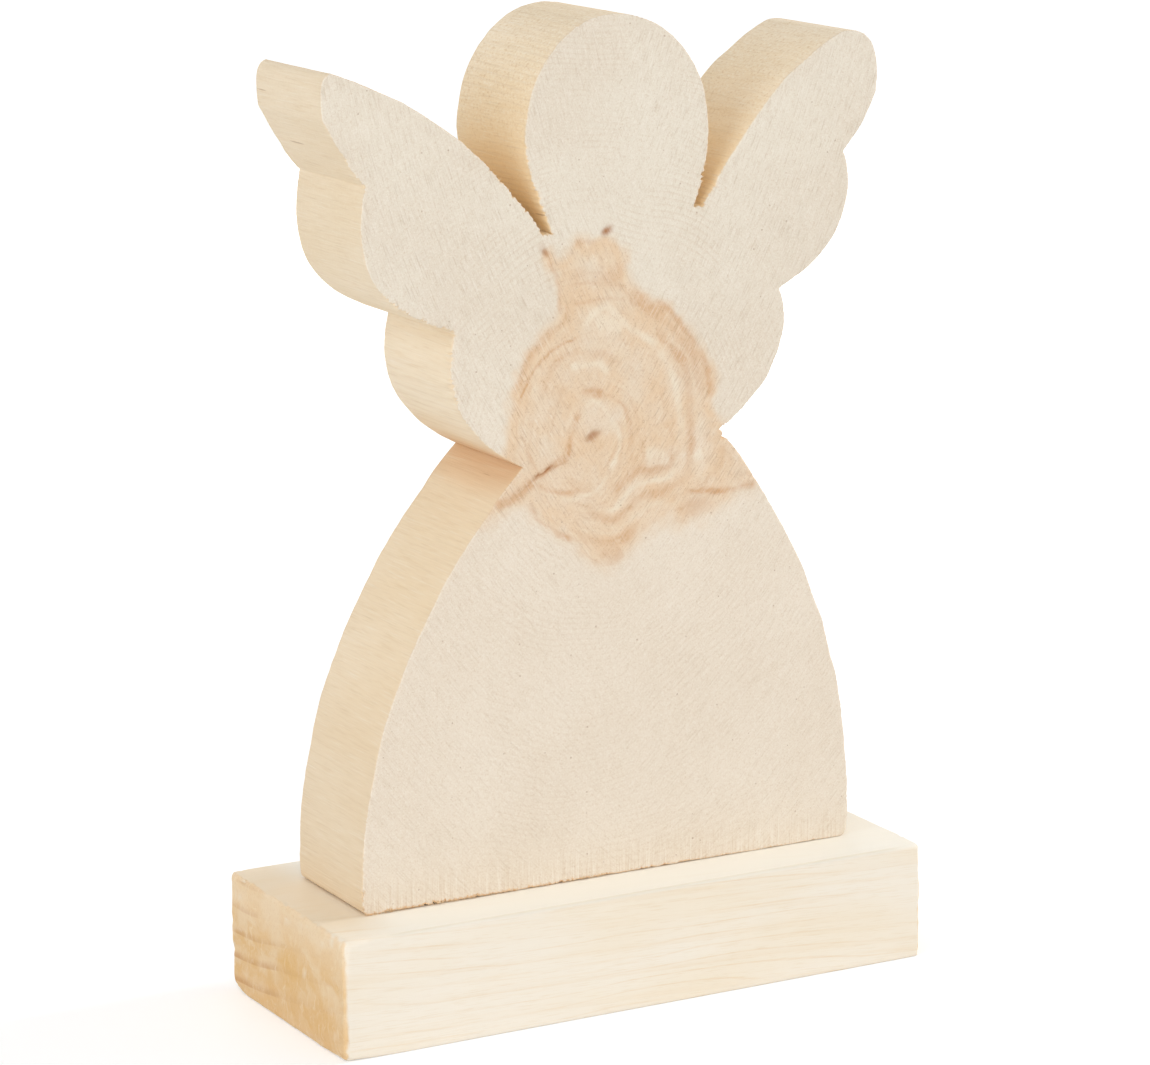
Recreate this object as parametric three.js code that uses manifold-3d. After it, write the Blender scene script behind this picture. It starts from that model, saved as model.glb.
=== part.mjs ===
// A hand-sawn wooden angel: one cross-cut slice of a log, standing on edge on a block of lath.
// Millimetres, +Z up. The origin is the middle of the block's underside, and the angel's face looks along -Y.

import * as THREE from 'three';
import { mergeVertices } from 'three/addons/utils/BufferGeometryUtils.js';
import Module from 'manifold-3d';

// Base block: a length of lath with softened long edges
const BASE_LENGTH = 135;
const BASE_DEPTH = 53;
const BASE_HEIGHT = 24.8;
const BASE_ARRIS = 0.8;

// Angel slice: how thick it is, and how far it stands back from the block's front
const FIGURE_THICKNESS = 29;
const FIGURE_SETBACK = 12.8;

// Saw cuts: the blade's width, how far the shoulders, where the cuts beside the head end, rise over the
// waist, and the rounding of the hem's corners
const KERF_WIDTH = 1.8;
const SHOULDER_RISE = 46.2;
const HEM_CORNER = 1.5;

// Head: an egg whose dome springs from its widest line
const HEAD_HALF_WIDTH = 20.9;
const HEAD_OFFSET = 1.1;
const HEAD_RISE = 16.8;
const HEAD_DOME = 24;
const CROWN_OFFSET = 0.2;
const CHEEK_FULLNESS = 6.8;

// Each half of the angel was sawn by eye, so each has its own sizes. The edge runs from corner to corner: out
// and up lead to the next corner, bulge is how far the stretch swells from the straight line between its
// corners, and lean moves its fullest place along that line.
const RIGHT_HALF = {
  hem: 57,
  shoulder: 20.6,
  skirt: { out: -31.7, up: 88.9, bulge: 9.1, lean: -1.4 },
  lowerLobe: { out: 13.8, up: 27.8, bulge: 5.6, lean: 2.8 },
  middleLobe: { out: 15, up: 27.1, bulge: 6.3, lean: 2.5 },
  tipFlank: { out: 7.6, up: 11.8, bulge: 0.5, lean: -0.5 },
  tipRound: { out: -8.4, up: 12.4, bulge: 4.4, lean: 2.1 },
  topEdge: { bulge: 3.5, lean: -5.4 },
};
const LEFT_HALF = {
  hem: 56.8,
  shoulder: 15.6,
  skirt: { out: -36.4, up: 85.7, bulge: 9.8, lean: -2.8 },
  lowerLobe: { out: 15.2, up: 28.4, bulge: 6.5, lean: 1.3 },
  middleLobe: { out: 19, up: 29.9, bulge: 8.7, lean: 0.9 },
  tipFlank: { out: 8.8, up: 13, bulge: 0.6, lean: -1 },
  tipRound: { out: -1.8, up: 9, bulge: 1.5, lean: 2.3 },
  topEdge: { bulge: 4.7, lean: 0 },
};

// Fixing screws: countersunk wood screws driven up through the block into the hem
const SCREW_SPACING = 70;
const SCREW_LENGTH = 45;
const SCREW_HEAD_DIAMETER = 8;
const SCREW_HEAD_RIM = 0.5;
const SCREW_SHANK_DIAMETER = 4;
const SCREW_SHANK_LENGTH = 20;
const SCREW_CORE_DIAMETER = 2.8;
const SCREW_POINT_LENGTH = 5;
const SCREW_SINK = 0.6;
const SCREW_CLEARANCE = 0.3;
const RECESS_WIDTH = 4.4;
const RECESS_SLOT = 1.1;
const RECESS_DEPTH = 2;

// Facets: steps along each curved stretch of the sawn edge, round a softened edge and round a turned piece
const EDGE_STEPS = 14;
const ARRIS_STEPS = 3;
const TURNED_STEPS = 32;

const wasm = await Module();
wasm.setup();

const figureFront = FIGURE_SETBACK - BASE_DEPTH / 2;
const figureMiddle = figureFront + FIGURE_THICKNESS / 2;

function solidFrom(geometry) {
  const bare = geometry.index ? geometry.toNonIndexed() : geometry.clone();
  bare.deleteAttribute('normal');
  bare.deleteAttribute('uv');
  const welded = mergeVertices(bare, 1e-4);
  return new wasm.Manifold(new wasm.Mesh({
    numProp: 3,
    vertProperties: new Float32Array(welded.attributes.position.array),
    triVerts: new Uint32Array(welded.index.array),
  }));
}

function geometryFrom(solid) {
  const mesh = solid.getMesh();
  const geometry = new THREE.BufferGeometry();
  geometry.setAttribute('position', new THREE.BufferAttribute(mesh.vertProperties, 3));
  geometry.setIndex(new THREE.BufferAttribute(mesh.triVerts, 1));
  geometry.computeVertexNormals();
  return geometry;
}

// A turned solid on the Z axis, from its radii and heights
function turned(profile) {
  const points = profile.map(([radius, height]) => new THREE.Vector2(radius, height));
  return new THREE.LatheGeometry(points, TURNED_STEPS).rotateX(Math.PI / 2);
}

// Sawn edge

// One stretch of the sawn edge, swelling to the right of its travel, which is away from the wood
function sawnStretch(start, end, { bulge, lean }) {
  const along = end.clone().sub(start).normalize();
  const pull = new THREE.Vector2(along.y, -along.x).multiplyScalar(bulge * 4 / 3);
  pull.addScaledVector(along, lean);
  const firstHandle = start.clone().lerp(end, 1 / 3).add(pull);
  const secondHandle = start.clone().lerp(end, 2 / 3).add(pull);
  return new THREE.CubicBezierCurve(start, firstHandle, secondHandle, end);
}

// One half of the angel from the hem to the shoulder, drawn on the right of its axis
function halfEdge(half) {
  const edge = [];
  const cornerRound = { out: HEM_CORNER, up: HEM_CORNER, bulge: HEM_CORNER * (1 - Math.SQRT1_2), lean: 0 };
  const stretches = [cornerRound, half.skirt, half.lowerLobe, half.middleLobe, half.tipFlank, half.tipRound];
  let corner = new THREE.Vector2(half.hem - HEM_CORNER, 0);
  for (const stretch of stretches) {
    const next = corner.clone().add(new THREE.Vector2(stretch.out, stretch.up));
    edge.push(sawnStretch(corner, next, stretch));
    corner = next;
  }
  edge.push(sawnStretch(corner, shoulderOf(half), half.topEdge));
  return edge;
}

function shoulderOf(half) {
  return new THREE.Vector2(half.shoulder, HEM_CORNER + half.skirt.up + SHOULDER_RISE);
}

function mirrored(point) {
  return new THREE.Vector2(-point.x, point.y);
}

// The same stretch on the other side of the axis, travelled the other way
function mirroredStretch(curve) {
  return new THREE.CubicBezierCurve(...[curve.v3, curve.v2, curve.v1, curve.v0].map(mirrored));
}

// The head from the right-hand kerf over the crown to the left-hand kerf
function headEdge(rightNeck, leftNeck) {
  const widestHeight = (rightNeck.y + leftNeck.y) / 2 + HEAD_RISE;
  const widestRight = new THREE.Vector2(HEAD_OFFSET + HEAD_HALF_WIDTH, widestHeight);
  const widestLeft = new THREE.Vector2(HEAD_OFFSET - HEAD_HALF_WIDTH, widestHeight);
  const rightCheek = new THREE.Vector2(widestRight.x, widestHeight - CHEEK_FULLNESS);
  const leftCheek = new THREE.Vector2(widestLeft.x, widestHeight - CHEEK_FULLNESS);
  const domeArc = (radius, from, to) =>
    new THREE.EllipseCurve(CROWN_OFFSET, widestHeight, radius, HEAD_DOME, from, to, false, 0);
  return [
    new THREE.QuadraticBezierCurve(rightNeck, rightCheek, widestRight),
    domeArc(widestRight.x - CROWN_OFFSET, 0, Math.PI / 2),
    domeArc(CROWN_OFFSET - widestLeft.x, Math.PI / 2, Math.PI),
    new THREE.QuadraticBezierCurve(widestLeft, leftCheek, leftNeck),
  ];
}

function angelOutline() {
  const rightEdge = halfEdge(RIGHT_HALF);
  const leftEdge = halfEdge(LEFT_HALF).map(mirroredStretch).reverse();
  const rightShoulder = shoulderOf(RIGHT_HALF);
  const leftShoulder = mirrored(shoulderOf(LEFT_HALF));
  const rightNeck = new THREE.Vector2(rightShoulder.x - KERF_WIDTH, rightShoulder.y);
  const leftNeck = new THREE.Vector2(leftShoulder.x + KERF_WIDTH, leftShoulder.y);
  const outline = new THREE.Shape();
  outline.curves = [
    ...rightEdge,
    new THREE.LineCurve(rightShoulder, rightNeck),
    ...headEdge(rightNeck, leftNeck),
    new THREE.LineCurve(leftNeck, leftShoulder),
    ...leftEdge,
  ];
  outline.closePath();
  return outline;
}

// Fixing screws

const screwPlaces = {
  fixing_screw_left: new THREE.Vector3(-SCREW_SPACING / 2, figureMiddle, SCREW_SINK),
  fixing_screw_right: new THREE.Vector3(SCREW_SPACING / 2, figureMiddle, SCREW_SINK),
};
const headRadius = SCREW_HEAD_DIAMETER / 2;
const shankRadius = SCREW_SHANK_DIAMETER / 2;
const coreRadius = SCREW_CORE_DIAMETER / 2;
const coneEnd = SCREW_HEAD_RIM + headRadius - shankRadius;
const shankEnd = coneEnd + SCREW_SHANK_LENGTH;

// The cross recess: two crossed slots, narrowing to a blunt point
function crossRecess() {
  const arm = RECESS_WIDTH / 2;
  const slot = RECESS_SLOT / 2;
  const bars = [new THREE.Shape(), new THREE.Shape()];
  const sizes = [[arm, slot], [slot, arm]];
  const [across, upright] = bars.map((bar, index) => {
    const [x, y] = sizes[index];
    bar.moveTo(-x, -y).lineTo(x, -y).lineTo(x, y).lineTo(-x, y).closePath();
    const options = { depth: RECESS_DEPTH + SCREW_SINK, bevelEnabled: false };
    return solidFrom(new THREE.ExtrudeGeometry(bar, options).translate(0, 0, -SCREW_SINK));
  });
  const taper = turned([
    [0, -SCREW_SINK],
    [arm, -SCREW_SINK],
    [arm, 0],
    [slot, RECESS_DEPTH],
    [0, RECESS_DEPTH],
  ]);
  return across.add(upright).intersect(solidFrom(taper));
}

function screwSolid() {
  const body = turned([
    [0, 0],
    [headRadius, 0],
    [headRadius, SCREW_HEAD_RIM],
    [shankRadius, coneEnd],
    [shankRadius, shankEnd],
    [coreRadius, shankEnd + shankRadius - coreRadius],
    [coreRadius, SCREW_LENGTH - SCREW_POINT_LENGTH],
    [0, SCREW_LENGTH],
  ]);
  return solidFrom(body).subtract(crossRecess());
}

// The hole for one screw: a countersink open to the underside, a way for the shank and a pilot for the core
function screwHole() {
  const wideHead = headRadius + SCREW_CLEARANCE;
  const wideShank = shankRadius + SCREW_CLEARANCE;
  const wideCore = coreRadius + SCREW_CLEARANCE;
  const mouth = -SCREW_SINK - SCREW_CLEARANCE;
  const rim = SCREW_HEAD_RIM + SCREW_CLEARANCE;
  const wideShankEnd = shankEnd + SCREW_CLEARANCE;
  return solidFrom(turned([
    [0, mouth],
    [wideHead, mouth],
    [wideHead, rim],
    [wideShank, rim + wideHead - wideShank],
    [wideShank, wideShankEnd],
    [wideCore, wideShankEnd + wideShank - wideCore],
    [wideCore, SCREW_LENGTH + SCREW_CLEARANCE],
    [0, SCREW_LENGTH + SCREW_CLEARANCE + wideCore],
  ]));
}

function drilled(solid) {
  return Object.values(screwPlaces).reduce(
    (left, place) => left.subtract(screwHole().translate(place.toArray())),
    solid,
  );
}

// Angel slice

function angelGeometry() {
  const options = { depth: FIGURE_THICKNESS, bevelEnabled: false, curveSegments: EDGE_STEPS };
  const slice = new THREE.ExtrudeGeometry(angelOutline(), options);
  slice.rotateX(Math.PI / 2);
  slice.translate(0, figureFront + FIGURE_THICKNESS, BASE_HEIGHT);
  return geometryFrom(drilled(solidFrom(slice)));
}

// Base block

function blockSection() {
  const front = -BASE_DEPTH / 2;
  const back = BASE_DEPTH / 2;
  const section = new THREE.Shape();
  section.absarc(back - BASE_ARRIS, BASE_ARRIS, BASE_ARRIS, -Math.PI / 2, 0);
  section.absarc(back - BASE_ARRIS, BASE_HEIGHT - BASE_ARRIS, BASE_ARRIS, 0, Math.PI / 2);
  section.absarc(front + BASE_ARRIS, BASE_HEIGHT - BASE_ARRIS, BASE_ARRIS, Math.PI / 2, Math.PI);
  section.absarc(front + BASE_ARRIS, BASE_ARRIS, BASE_ARRIS, Math.PI, 3 * Math.PI / 2);
  return section;
}

function blockGeometry() {
  const options = { depth: BASE_LENGTH, bevelEnabled: false, curveSegments: ARRIS_STEPS };
  const block = new THREE.ExtrudeGeometry(blockSection(), options);
  const lengthwise = new THREE.Matrix4().makeBasis(
    new THREE.Vector3(0, 1, 0),
    new THREE.Vector3(0, 0, 1),
    new THREE.Vector3(1, 0, 0),
  );
  block.applyMatrix4(lengthwise);
  block.translate(-BASE_LENGTH / 2, 0, 0);
  return geometryFrom(drilled(solidFrom(block)));
}

// Assembly

const sliceWood = new THREE.MeshStandardMaterial({ color: 0xebdecd, roughness: 0.75, metalness: 0 });
const lathWood = new THREE.MeshStandardMaterial({ color: 0xf3e4cb, roughness: 0.7, metalness: 0 });
const screwSteel = new THREE.MeshStandardMaterial({ color: 0xb9babb, roughness: 0.35, metalness: 1 });

function piece(name, geometry, material) {
  const mesh = new THREE.Mesh(geometry, material);
  mesh.name = name;
  return mesh;
}

const angel = new THREE.Group();
angel.add(piece('base_block', blockGeometry(), lathWood));
angel.add(piece('angel_figure', angelGeometry(), sliceWood));
for (const [name, place] of Object.entries(screwPlaces)) {
  const screw = piece(name, geometryFrom(screwSolid()), screwSteel);
  screw.position.copy(place);
  angel.add(screw);
}

export default angel;
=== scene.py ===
# %% [markdown]
# # A wooden angel sawn from a slice of log
# The real figurine is a cross-cut slice of a pale log, sawn by eye to an angel's outline and screwed
# on edge to a short block of lath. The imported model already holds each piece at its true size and
# place. This lesson gives the pieces their skin: torn saw edges, sanded end grain with a brown heart,
# planed lath and plated screws.
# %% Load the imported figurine
import itertools
import math

import bmesh
import bpy
import numpy as np
from mathutils import Matrix, Vector, geometry, kdtree


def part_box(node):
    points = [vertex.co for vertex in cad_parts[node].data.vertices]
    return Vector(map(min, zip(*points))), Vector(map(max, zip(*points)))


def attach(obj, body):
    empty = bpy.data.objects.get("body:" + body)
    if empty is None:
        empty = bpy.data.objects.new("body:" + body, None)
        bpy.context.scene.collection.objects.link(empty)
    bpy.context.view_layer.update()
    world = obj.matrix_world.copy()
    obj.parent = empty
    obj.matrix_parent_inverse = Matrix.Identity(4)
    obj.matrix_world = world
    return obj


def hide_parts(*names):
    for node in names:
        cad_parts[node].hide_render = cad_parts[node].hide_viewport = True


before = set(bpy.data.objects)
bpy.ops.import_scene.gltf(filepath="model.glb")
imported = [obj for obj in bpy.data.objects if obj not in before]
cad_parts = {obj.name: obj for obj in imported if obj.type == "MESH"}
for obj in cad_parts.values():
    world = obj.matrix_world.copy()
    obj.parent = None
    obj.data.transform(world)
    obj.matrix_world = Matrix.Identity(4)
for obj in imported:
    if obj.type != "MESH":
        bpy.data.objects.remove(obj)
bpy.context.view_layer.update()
MM = 0.001
print("nodes:", sorted(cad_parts))

# %% [markdown]
# ## The camera
# A photographer stood in front of the figurine, a little to its left and above it, with a long lens.
# Working the focal length out from the picture's width keeps the perspective of the block's long
# edges, so the lens is set from the focal length in pixels and not by eye.
# %% Stand the camera
PICTURE_WIDTH = 1150
FOCAL_PIXELS = 4159
SENSOR_WIDTH = 36
CAMERA_AZIMUTH = math.radians(-29.245)
CAMERA_ELEVATION = math.radians(12.754)
CAMERA_DISTANCE = 848.4 * MM
AIM = Vector((0, 0, 92 * MM))
AIM_RIGHT = -0.9 * MM
AIM_UP = 1.84 * MM
NEAREST_SEEN = 10 * MM

back = Vector((
    math.sin(CAMERA_AZIMUTH) * math.cos(CAMERA_ELEVATION),
    -math.cos(CAMERA_AZIMUTH) * math.cos(CAMERA_ELEVATION),
    math.sin(CAMERA_ELEVATION),
))
right = Vector((math.cos(CAMERA_AZIMUTH), math.sin(CAMERA_AZIMUTH), 0))
up = back.cross(right)
stand = AIM + back * CAMERA_DISTANCE + right * AIM_RIGHT + up * AIM_UP
camera = bpy.data.objects.new("camera", bpy.data.cameras.new("camera"))
camera.matrix_world = Matrix((right, up, back)).transposed().to_4x4()
camera.location = stand
camera.data.sensor_width = SENSOR_WIDTH
camera.data.lens = FOCAL_PIXELS * SENSOR_WIDTH / PICTURE_WIDTH
camera.data.clip_start = NEAREST_SEEN
bpy.context.scene.collection.objects.link(camera)
bpy.context.scene.camera = camera
print("lens", round(camera.data.lens, 1), "mm, camera at", [round(c / MM) for c in camera.location], "mm")

# %% [markdown]
# ## Unevenness that stays the same
# Hand work is never even, and wood less so. A random number for each vertex would make grit, so the
# unevenness is a smooth noise: a value at each point of a coarse lattice, blended between the points.
# The lattice values come from whole-number arithmetic, so every run gives the same wood.
# %% Smooth noise on a lattice
LATTICE_PRIMES = np.array([374761393, 668265263, 1274126177], np.uint64)
LATTICE_MIXER = np.uint64(2246822519)


def lattice_value(cell, seed):
    key = (cell.astype(np.int64).astype(np.uint64) * LATTICE_PRIMES[:cell.shape[1]]).sum(axis=1)
    key += np.uint64(seed * 7919 + 1)
    for shift in (13, 17):
        key ^= key >> np.uint64(shift)
        key *= LATTICE_MIXER
    key ^= key >> np.uint64(15)
    return (key & np.uint64(0xFFFF)) / 0xFFFF


def soft_noise(points, size, seed):
    """Smooth noise from -1 to 1. Size is how long one swell is in each direction."""
    place = np.asarray(points, float).reshape(len(points), -1) / np.asarray(size, float)
    cell = np.floor(place)
    share = place - cell
    share = share * share * (3 - 2 * share)
    total = np.zeros(len(place))
    for corner in itertools.product((0, 1), repeat=place.shape[1]):
        weight = np.where(np.array(corner) == 1, share, 1 - share).prod(axis=1)
        total += weight * lattice_value(cell + corner, seed)
    return 2 * total - 1


def soft_push(points, size, seed):
    """Smooth noise for both directions of a face."""
    return np.stack([soft_noise(points, size, seed), soft_noise(points, size, seed + 1)], axis=1)


def ease(value, low, high):
    """Rises smoothly from 0 at low to 1 at high."""
    share = np.clip((np.asarray(value, float) - low) / (high - low), 0, 1)
    return share * share * (3 - 2 * share)


trial = soft_noise(np.linspace(0, 1, 1000)[:, None], 0.01, seed=1)
print("noise runs from", round(trial.min(), 2), "to", round(trial.max(), 2))

# %% [markdown]
# ## The sawn outline
# The slice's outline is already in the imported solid, as short straight facets. Reading it back from
# the solid's front cap keeps the two models alike.
# %% Read the outline off the front cap
WELD = 0.001 * MM
FLATNESS = 0.01 * MM


def cap_outline(node, outward):
    """The points round a node's flat cap that faces outward, in order."""
    cap = bmesh.new()
    cap.from_mesh(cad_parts[node].data)
    bmesh.ops.remove_doubles(cap, verts=cap.verts, dist=WELD)
    reach = max(v.co.dot(outward) for v in cap.verts)
    flat = {f for f in cap.faces if all(reach - v.co.dot(outward) < FLATNESS for v in f.verts)}
    rim = [e for e in cap.edges if sum(f in flat for f in e.link_faces) == 1]
    neighbours = {}
    for edge in rim:
        for vertex in edge.verts:
            neighbours.setdefault(vertex, []).append(edge.other_vert(vertex))
    start = rim[0].verts[0]
    ring = [start, neighbours[start][0]]
    while True:
        onward = [v for v in neighbours[ring[-1]] if v != ring[-2]][0]
        if onward == start:
            break
        ring.append(onward)
    points = np.array([(v.co.x, v.co.z) for v in ring])
    cap.free()
    return points


def enclosed_area(ring):
    x, z = ring.T
    return 0.5 * np.sum(x * np.roll(z, -1) - np.roll(x, -1) * z)


facets = cap_outline("angel_figure", Vector((0, -1, 0)))
if enclosed_area(facets) < 0:
    facets = facets[::-1]
print(len(facets), "facets round", round(enclosed_area(facets) / MM**2), "square mm")

# %% [markdown]
# Straight facets would show as flats on the sawn walls. Between the corners, where the saw turned
# round, they are faired into smooth curves and cut again into steps of a third of a millimetre, fine
# enough for torn fibres.
# %% Fair the facets into smooth runs
OUTLINE_STEP = 0.3 * MM
CORNER_TURN = math.radians(25)
STRAIGHT_RUN = 20 * MM


def turning(ring):
    ahead = np.roll(ring, -1, axis=0) - ring
    heading = np.arctan2(ahead[:, 1], ahead[:, 0])
    turn = heading - np.roll(heading, 1)
    return (turn + math.pi) % (2 * math.pi) - math.pi


def fair_curve(points, step):
    """A smooth curve through the points, cut into even steps."""
    points = np.asarray(points, float)
    travel = np.r_[0, np.cumsum(np.linalg.norm(np.diff(points, axis=0), axis=1))]
    if len(points) > 2:
        slope = np.gradient(points, travel, axis=0)
    else:
        slope = np.broadcast_to(np.diff(points, axis=0) / travel[1], points.shape)
    stops = np.linspace(0, travel[-1], max(2, round(travel[-1] / step) + 1))
    first = np.clip(np.searchsorted(travel, stops, side="right") - 1, 0, len(points) - 2)
    span = (travel[first + 1] - travel[first])[:, None]
    t = (stops - travel[first])[:, None] / span
    rise = 3 * t**2 - 2 * t**3
    leave = (t - 2 * t**2 + t**3) * span
    arrive = (t**3 - t**2) * span
    between = points[first] * (1 - rise) + points[first + 1] * rise
    return between + slope[first] * leave + slope[first + 1] * arrive


def fair_ring(ring, step):
    corners = np.flatnonzero(np.abs(turning(ring)) > CORNER_TURN)
    lengths = np.linalg.norm(np.roll(ring, -1, axis=0) - ring, axis=1)
    straight = np.flatnonzero(lengths > STRAIGHT_RUN)
    corners = np.unique(np.r_[corners, straight, (straight + 1) % len(ring)])
    ring = np.roll(ring, -corners[0], axis=0)
    corners = corners - corners[0]
    closed = np.vstack([ring, ring[:1]])
    ends = [*corners[1:], len(ring)]
    return np.vstack([fair_curve(closed[a:b + 1], step)[:-1] for a, b in zip(corners, ends)])


def outward_normals(ring):
    along = np.roll(ring, -1, axis=0) - np.roll(ring, 1, axis=0)
    normal = np.stack([along[:, 1], -along[:, 0]], axis=1)
    return normal / np.linalg.norm(normal, axis=1, keepdims=True)


outline = fair_ring(facets, OUTLINE_STEP)
outline_out = outward_normals(outline)
outline_travel = np.r_[0, np.cumsum(np.linalg.norm(np.diff(outline, axis=0), axis=1))]
print(len(outline), "steps round", round(outline_travel[-1] / MM), "mm of sawn edge")

# %% [markdown]
# ## How the saw left the edge
# A hand-guided blade wanders a little, and it tears fibres where it leaves the wood: along the
# notches beside the head and along the hem. The wander moves the whole wall. The tearing only bites
# into the front edge, so it is kept as a depth for each step of the outline and used when the wall is
# built.
# %% Wander and torn stretches
WANDER = 0.16 * MM
WANDER_LENGTH = 7 * MM
TOOTH_LENGTH = 0.45 * MM
SMALL_TEAR = 0.12 * MM
FACING_DOWN = -0.95
HEM_BAND = 0.5 * MM
CORNER_STEPS = 6
CORNER_BEND = (0.3, 0.9)
TORN_PLACES = [
    # x and z of the middle, reach along the edge, depth, all in mm
    (-22.0, 166.5, 12.0, 0.42),
    (19.5, 165.5, 6.5, 0.5),
    (26.2, 114.6, 1.6, 0.9),
    (-42.0, 25.0, 18.0, 0.46),
    (-4.0, 25.0, 24.0, 0.22),
    (38.0, 25.0, 18.0, 0.1),
    (-44.0, 143.5, 9.0, 0.5),
    (-36.5, 127.0, 12.0, 0.45),
    (-54.5, 172.0, 8.0, 0.3),
]

wander = WANDER * soft_noise(outline_travel[:, None], WANDER_LENGTH, seed=3)
wander += 0.3 * WANDER * soft_noise(outline_travel[:, None], WANDER_LENGTH / 4, seed=4)
hem = outline_out[:, 1] < FACING_DOWN
hem &= outline[:, 1] < outline[:, 1].min() + HEM_BAND
wander[hem] = 0

tooth = np.abs(soft_noise(outline_travel[:, None], TOOTH_LENGTH, seed=5))
tooth *= 0.45 + 0.55 * ease(soft_noise(outline_travel[:, None], 4 * TOOTH_LENGTH, seed=6), -0.6, 0.6)
torn = np.zeros(len(outline))
for x, z, reach, depth in TORN_PLACES:
    away = np.hypot(outline[:, 0] - x * MM, outline[:, 1] - z * MM)
    torn = np.maximum(torn, depth * MM * np.exp(-(away / (reach * MM))**4))
torn = tooth * (torn + SMALL_TEAR)
bend = np.maximum(turning(outline), 0)
bend = sum(np.roll(bend, k) for k in range(-CORNER_STEPS, CORNER_STEPS + 1))
torn *= 1 - ease(bend, *CORNER_BEND)
print("deepest tear", round(torn.max() / MM, 2), "mm")
print("wander up to", round(np.abs(wander).max() / MM, 2), "mm")

# %% [markdown]
# ## The heart of the log
# The slice was cut right through the middle of the tree, so the front shows the pith, a crack that
# runs from it, and a brown stained heart with pale wavy rings. Rings drawn by a formula alone would
# be too regular. Here the heart is drawn as a few brush strokes, in millimetres on the front face,
# and every vertex of the skin then gets the tone of the strokes near it. The crack and the pith are
# also cut into the surface.
# %% Strokes of the heart
PITH = (-4.5, 116.9)
HEART_EDGE = [
    (-15.0, 154.8), (-12.2, 153.2), (-9.6, 156.2), (-4.9, 156.4), (0.1, 156.0), (2.4, 153.6),
    (3.4, 150.0), (5.1, 146.7), (8.4, 144.2), (12.3, 141.9), (15.9, 138.5), (18.6, 134.6),
    (20.9, 131.0), (23.0, 128.3), (23.4, 123.9), (23.2, 120.0), (25.6, 117.4), (30.0, 114.0),
    (36.0, 104.0), (33.0, 102.6), (27.9, 101.2), (24.0, 99.2), (19.6, 97.0), (16.2, 96.6),
    (12.3, 98.2), (8.4, 96.6), (5.1, 94.2), (2.3, 91.5), (-0.4, 90.2), (-3.8, 91.0), (-6.6, 93.3),
    (-9.3, 96.7), (-13.8, 98.9), (-17.1, 101.5), (-19.6, 104.0), (-24.0, 104.0), (-29.0, 102.0),
    (-32.0, 104.0), (-27.0, 112.0), (-23.6, 117.0), (-22.9, 122.2), (-22.7, 126.7), (-21.0, 131.7),
    (-18.2, 136.1), (-14.9, 139.5), (-12.0, 141.7), (-12.2, 145.6), (-13.2, 149.2), (-15.4, 153.4),
]
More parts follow.
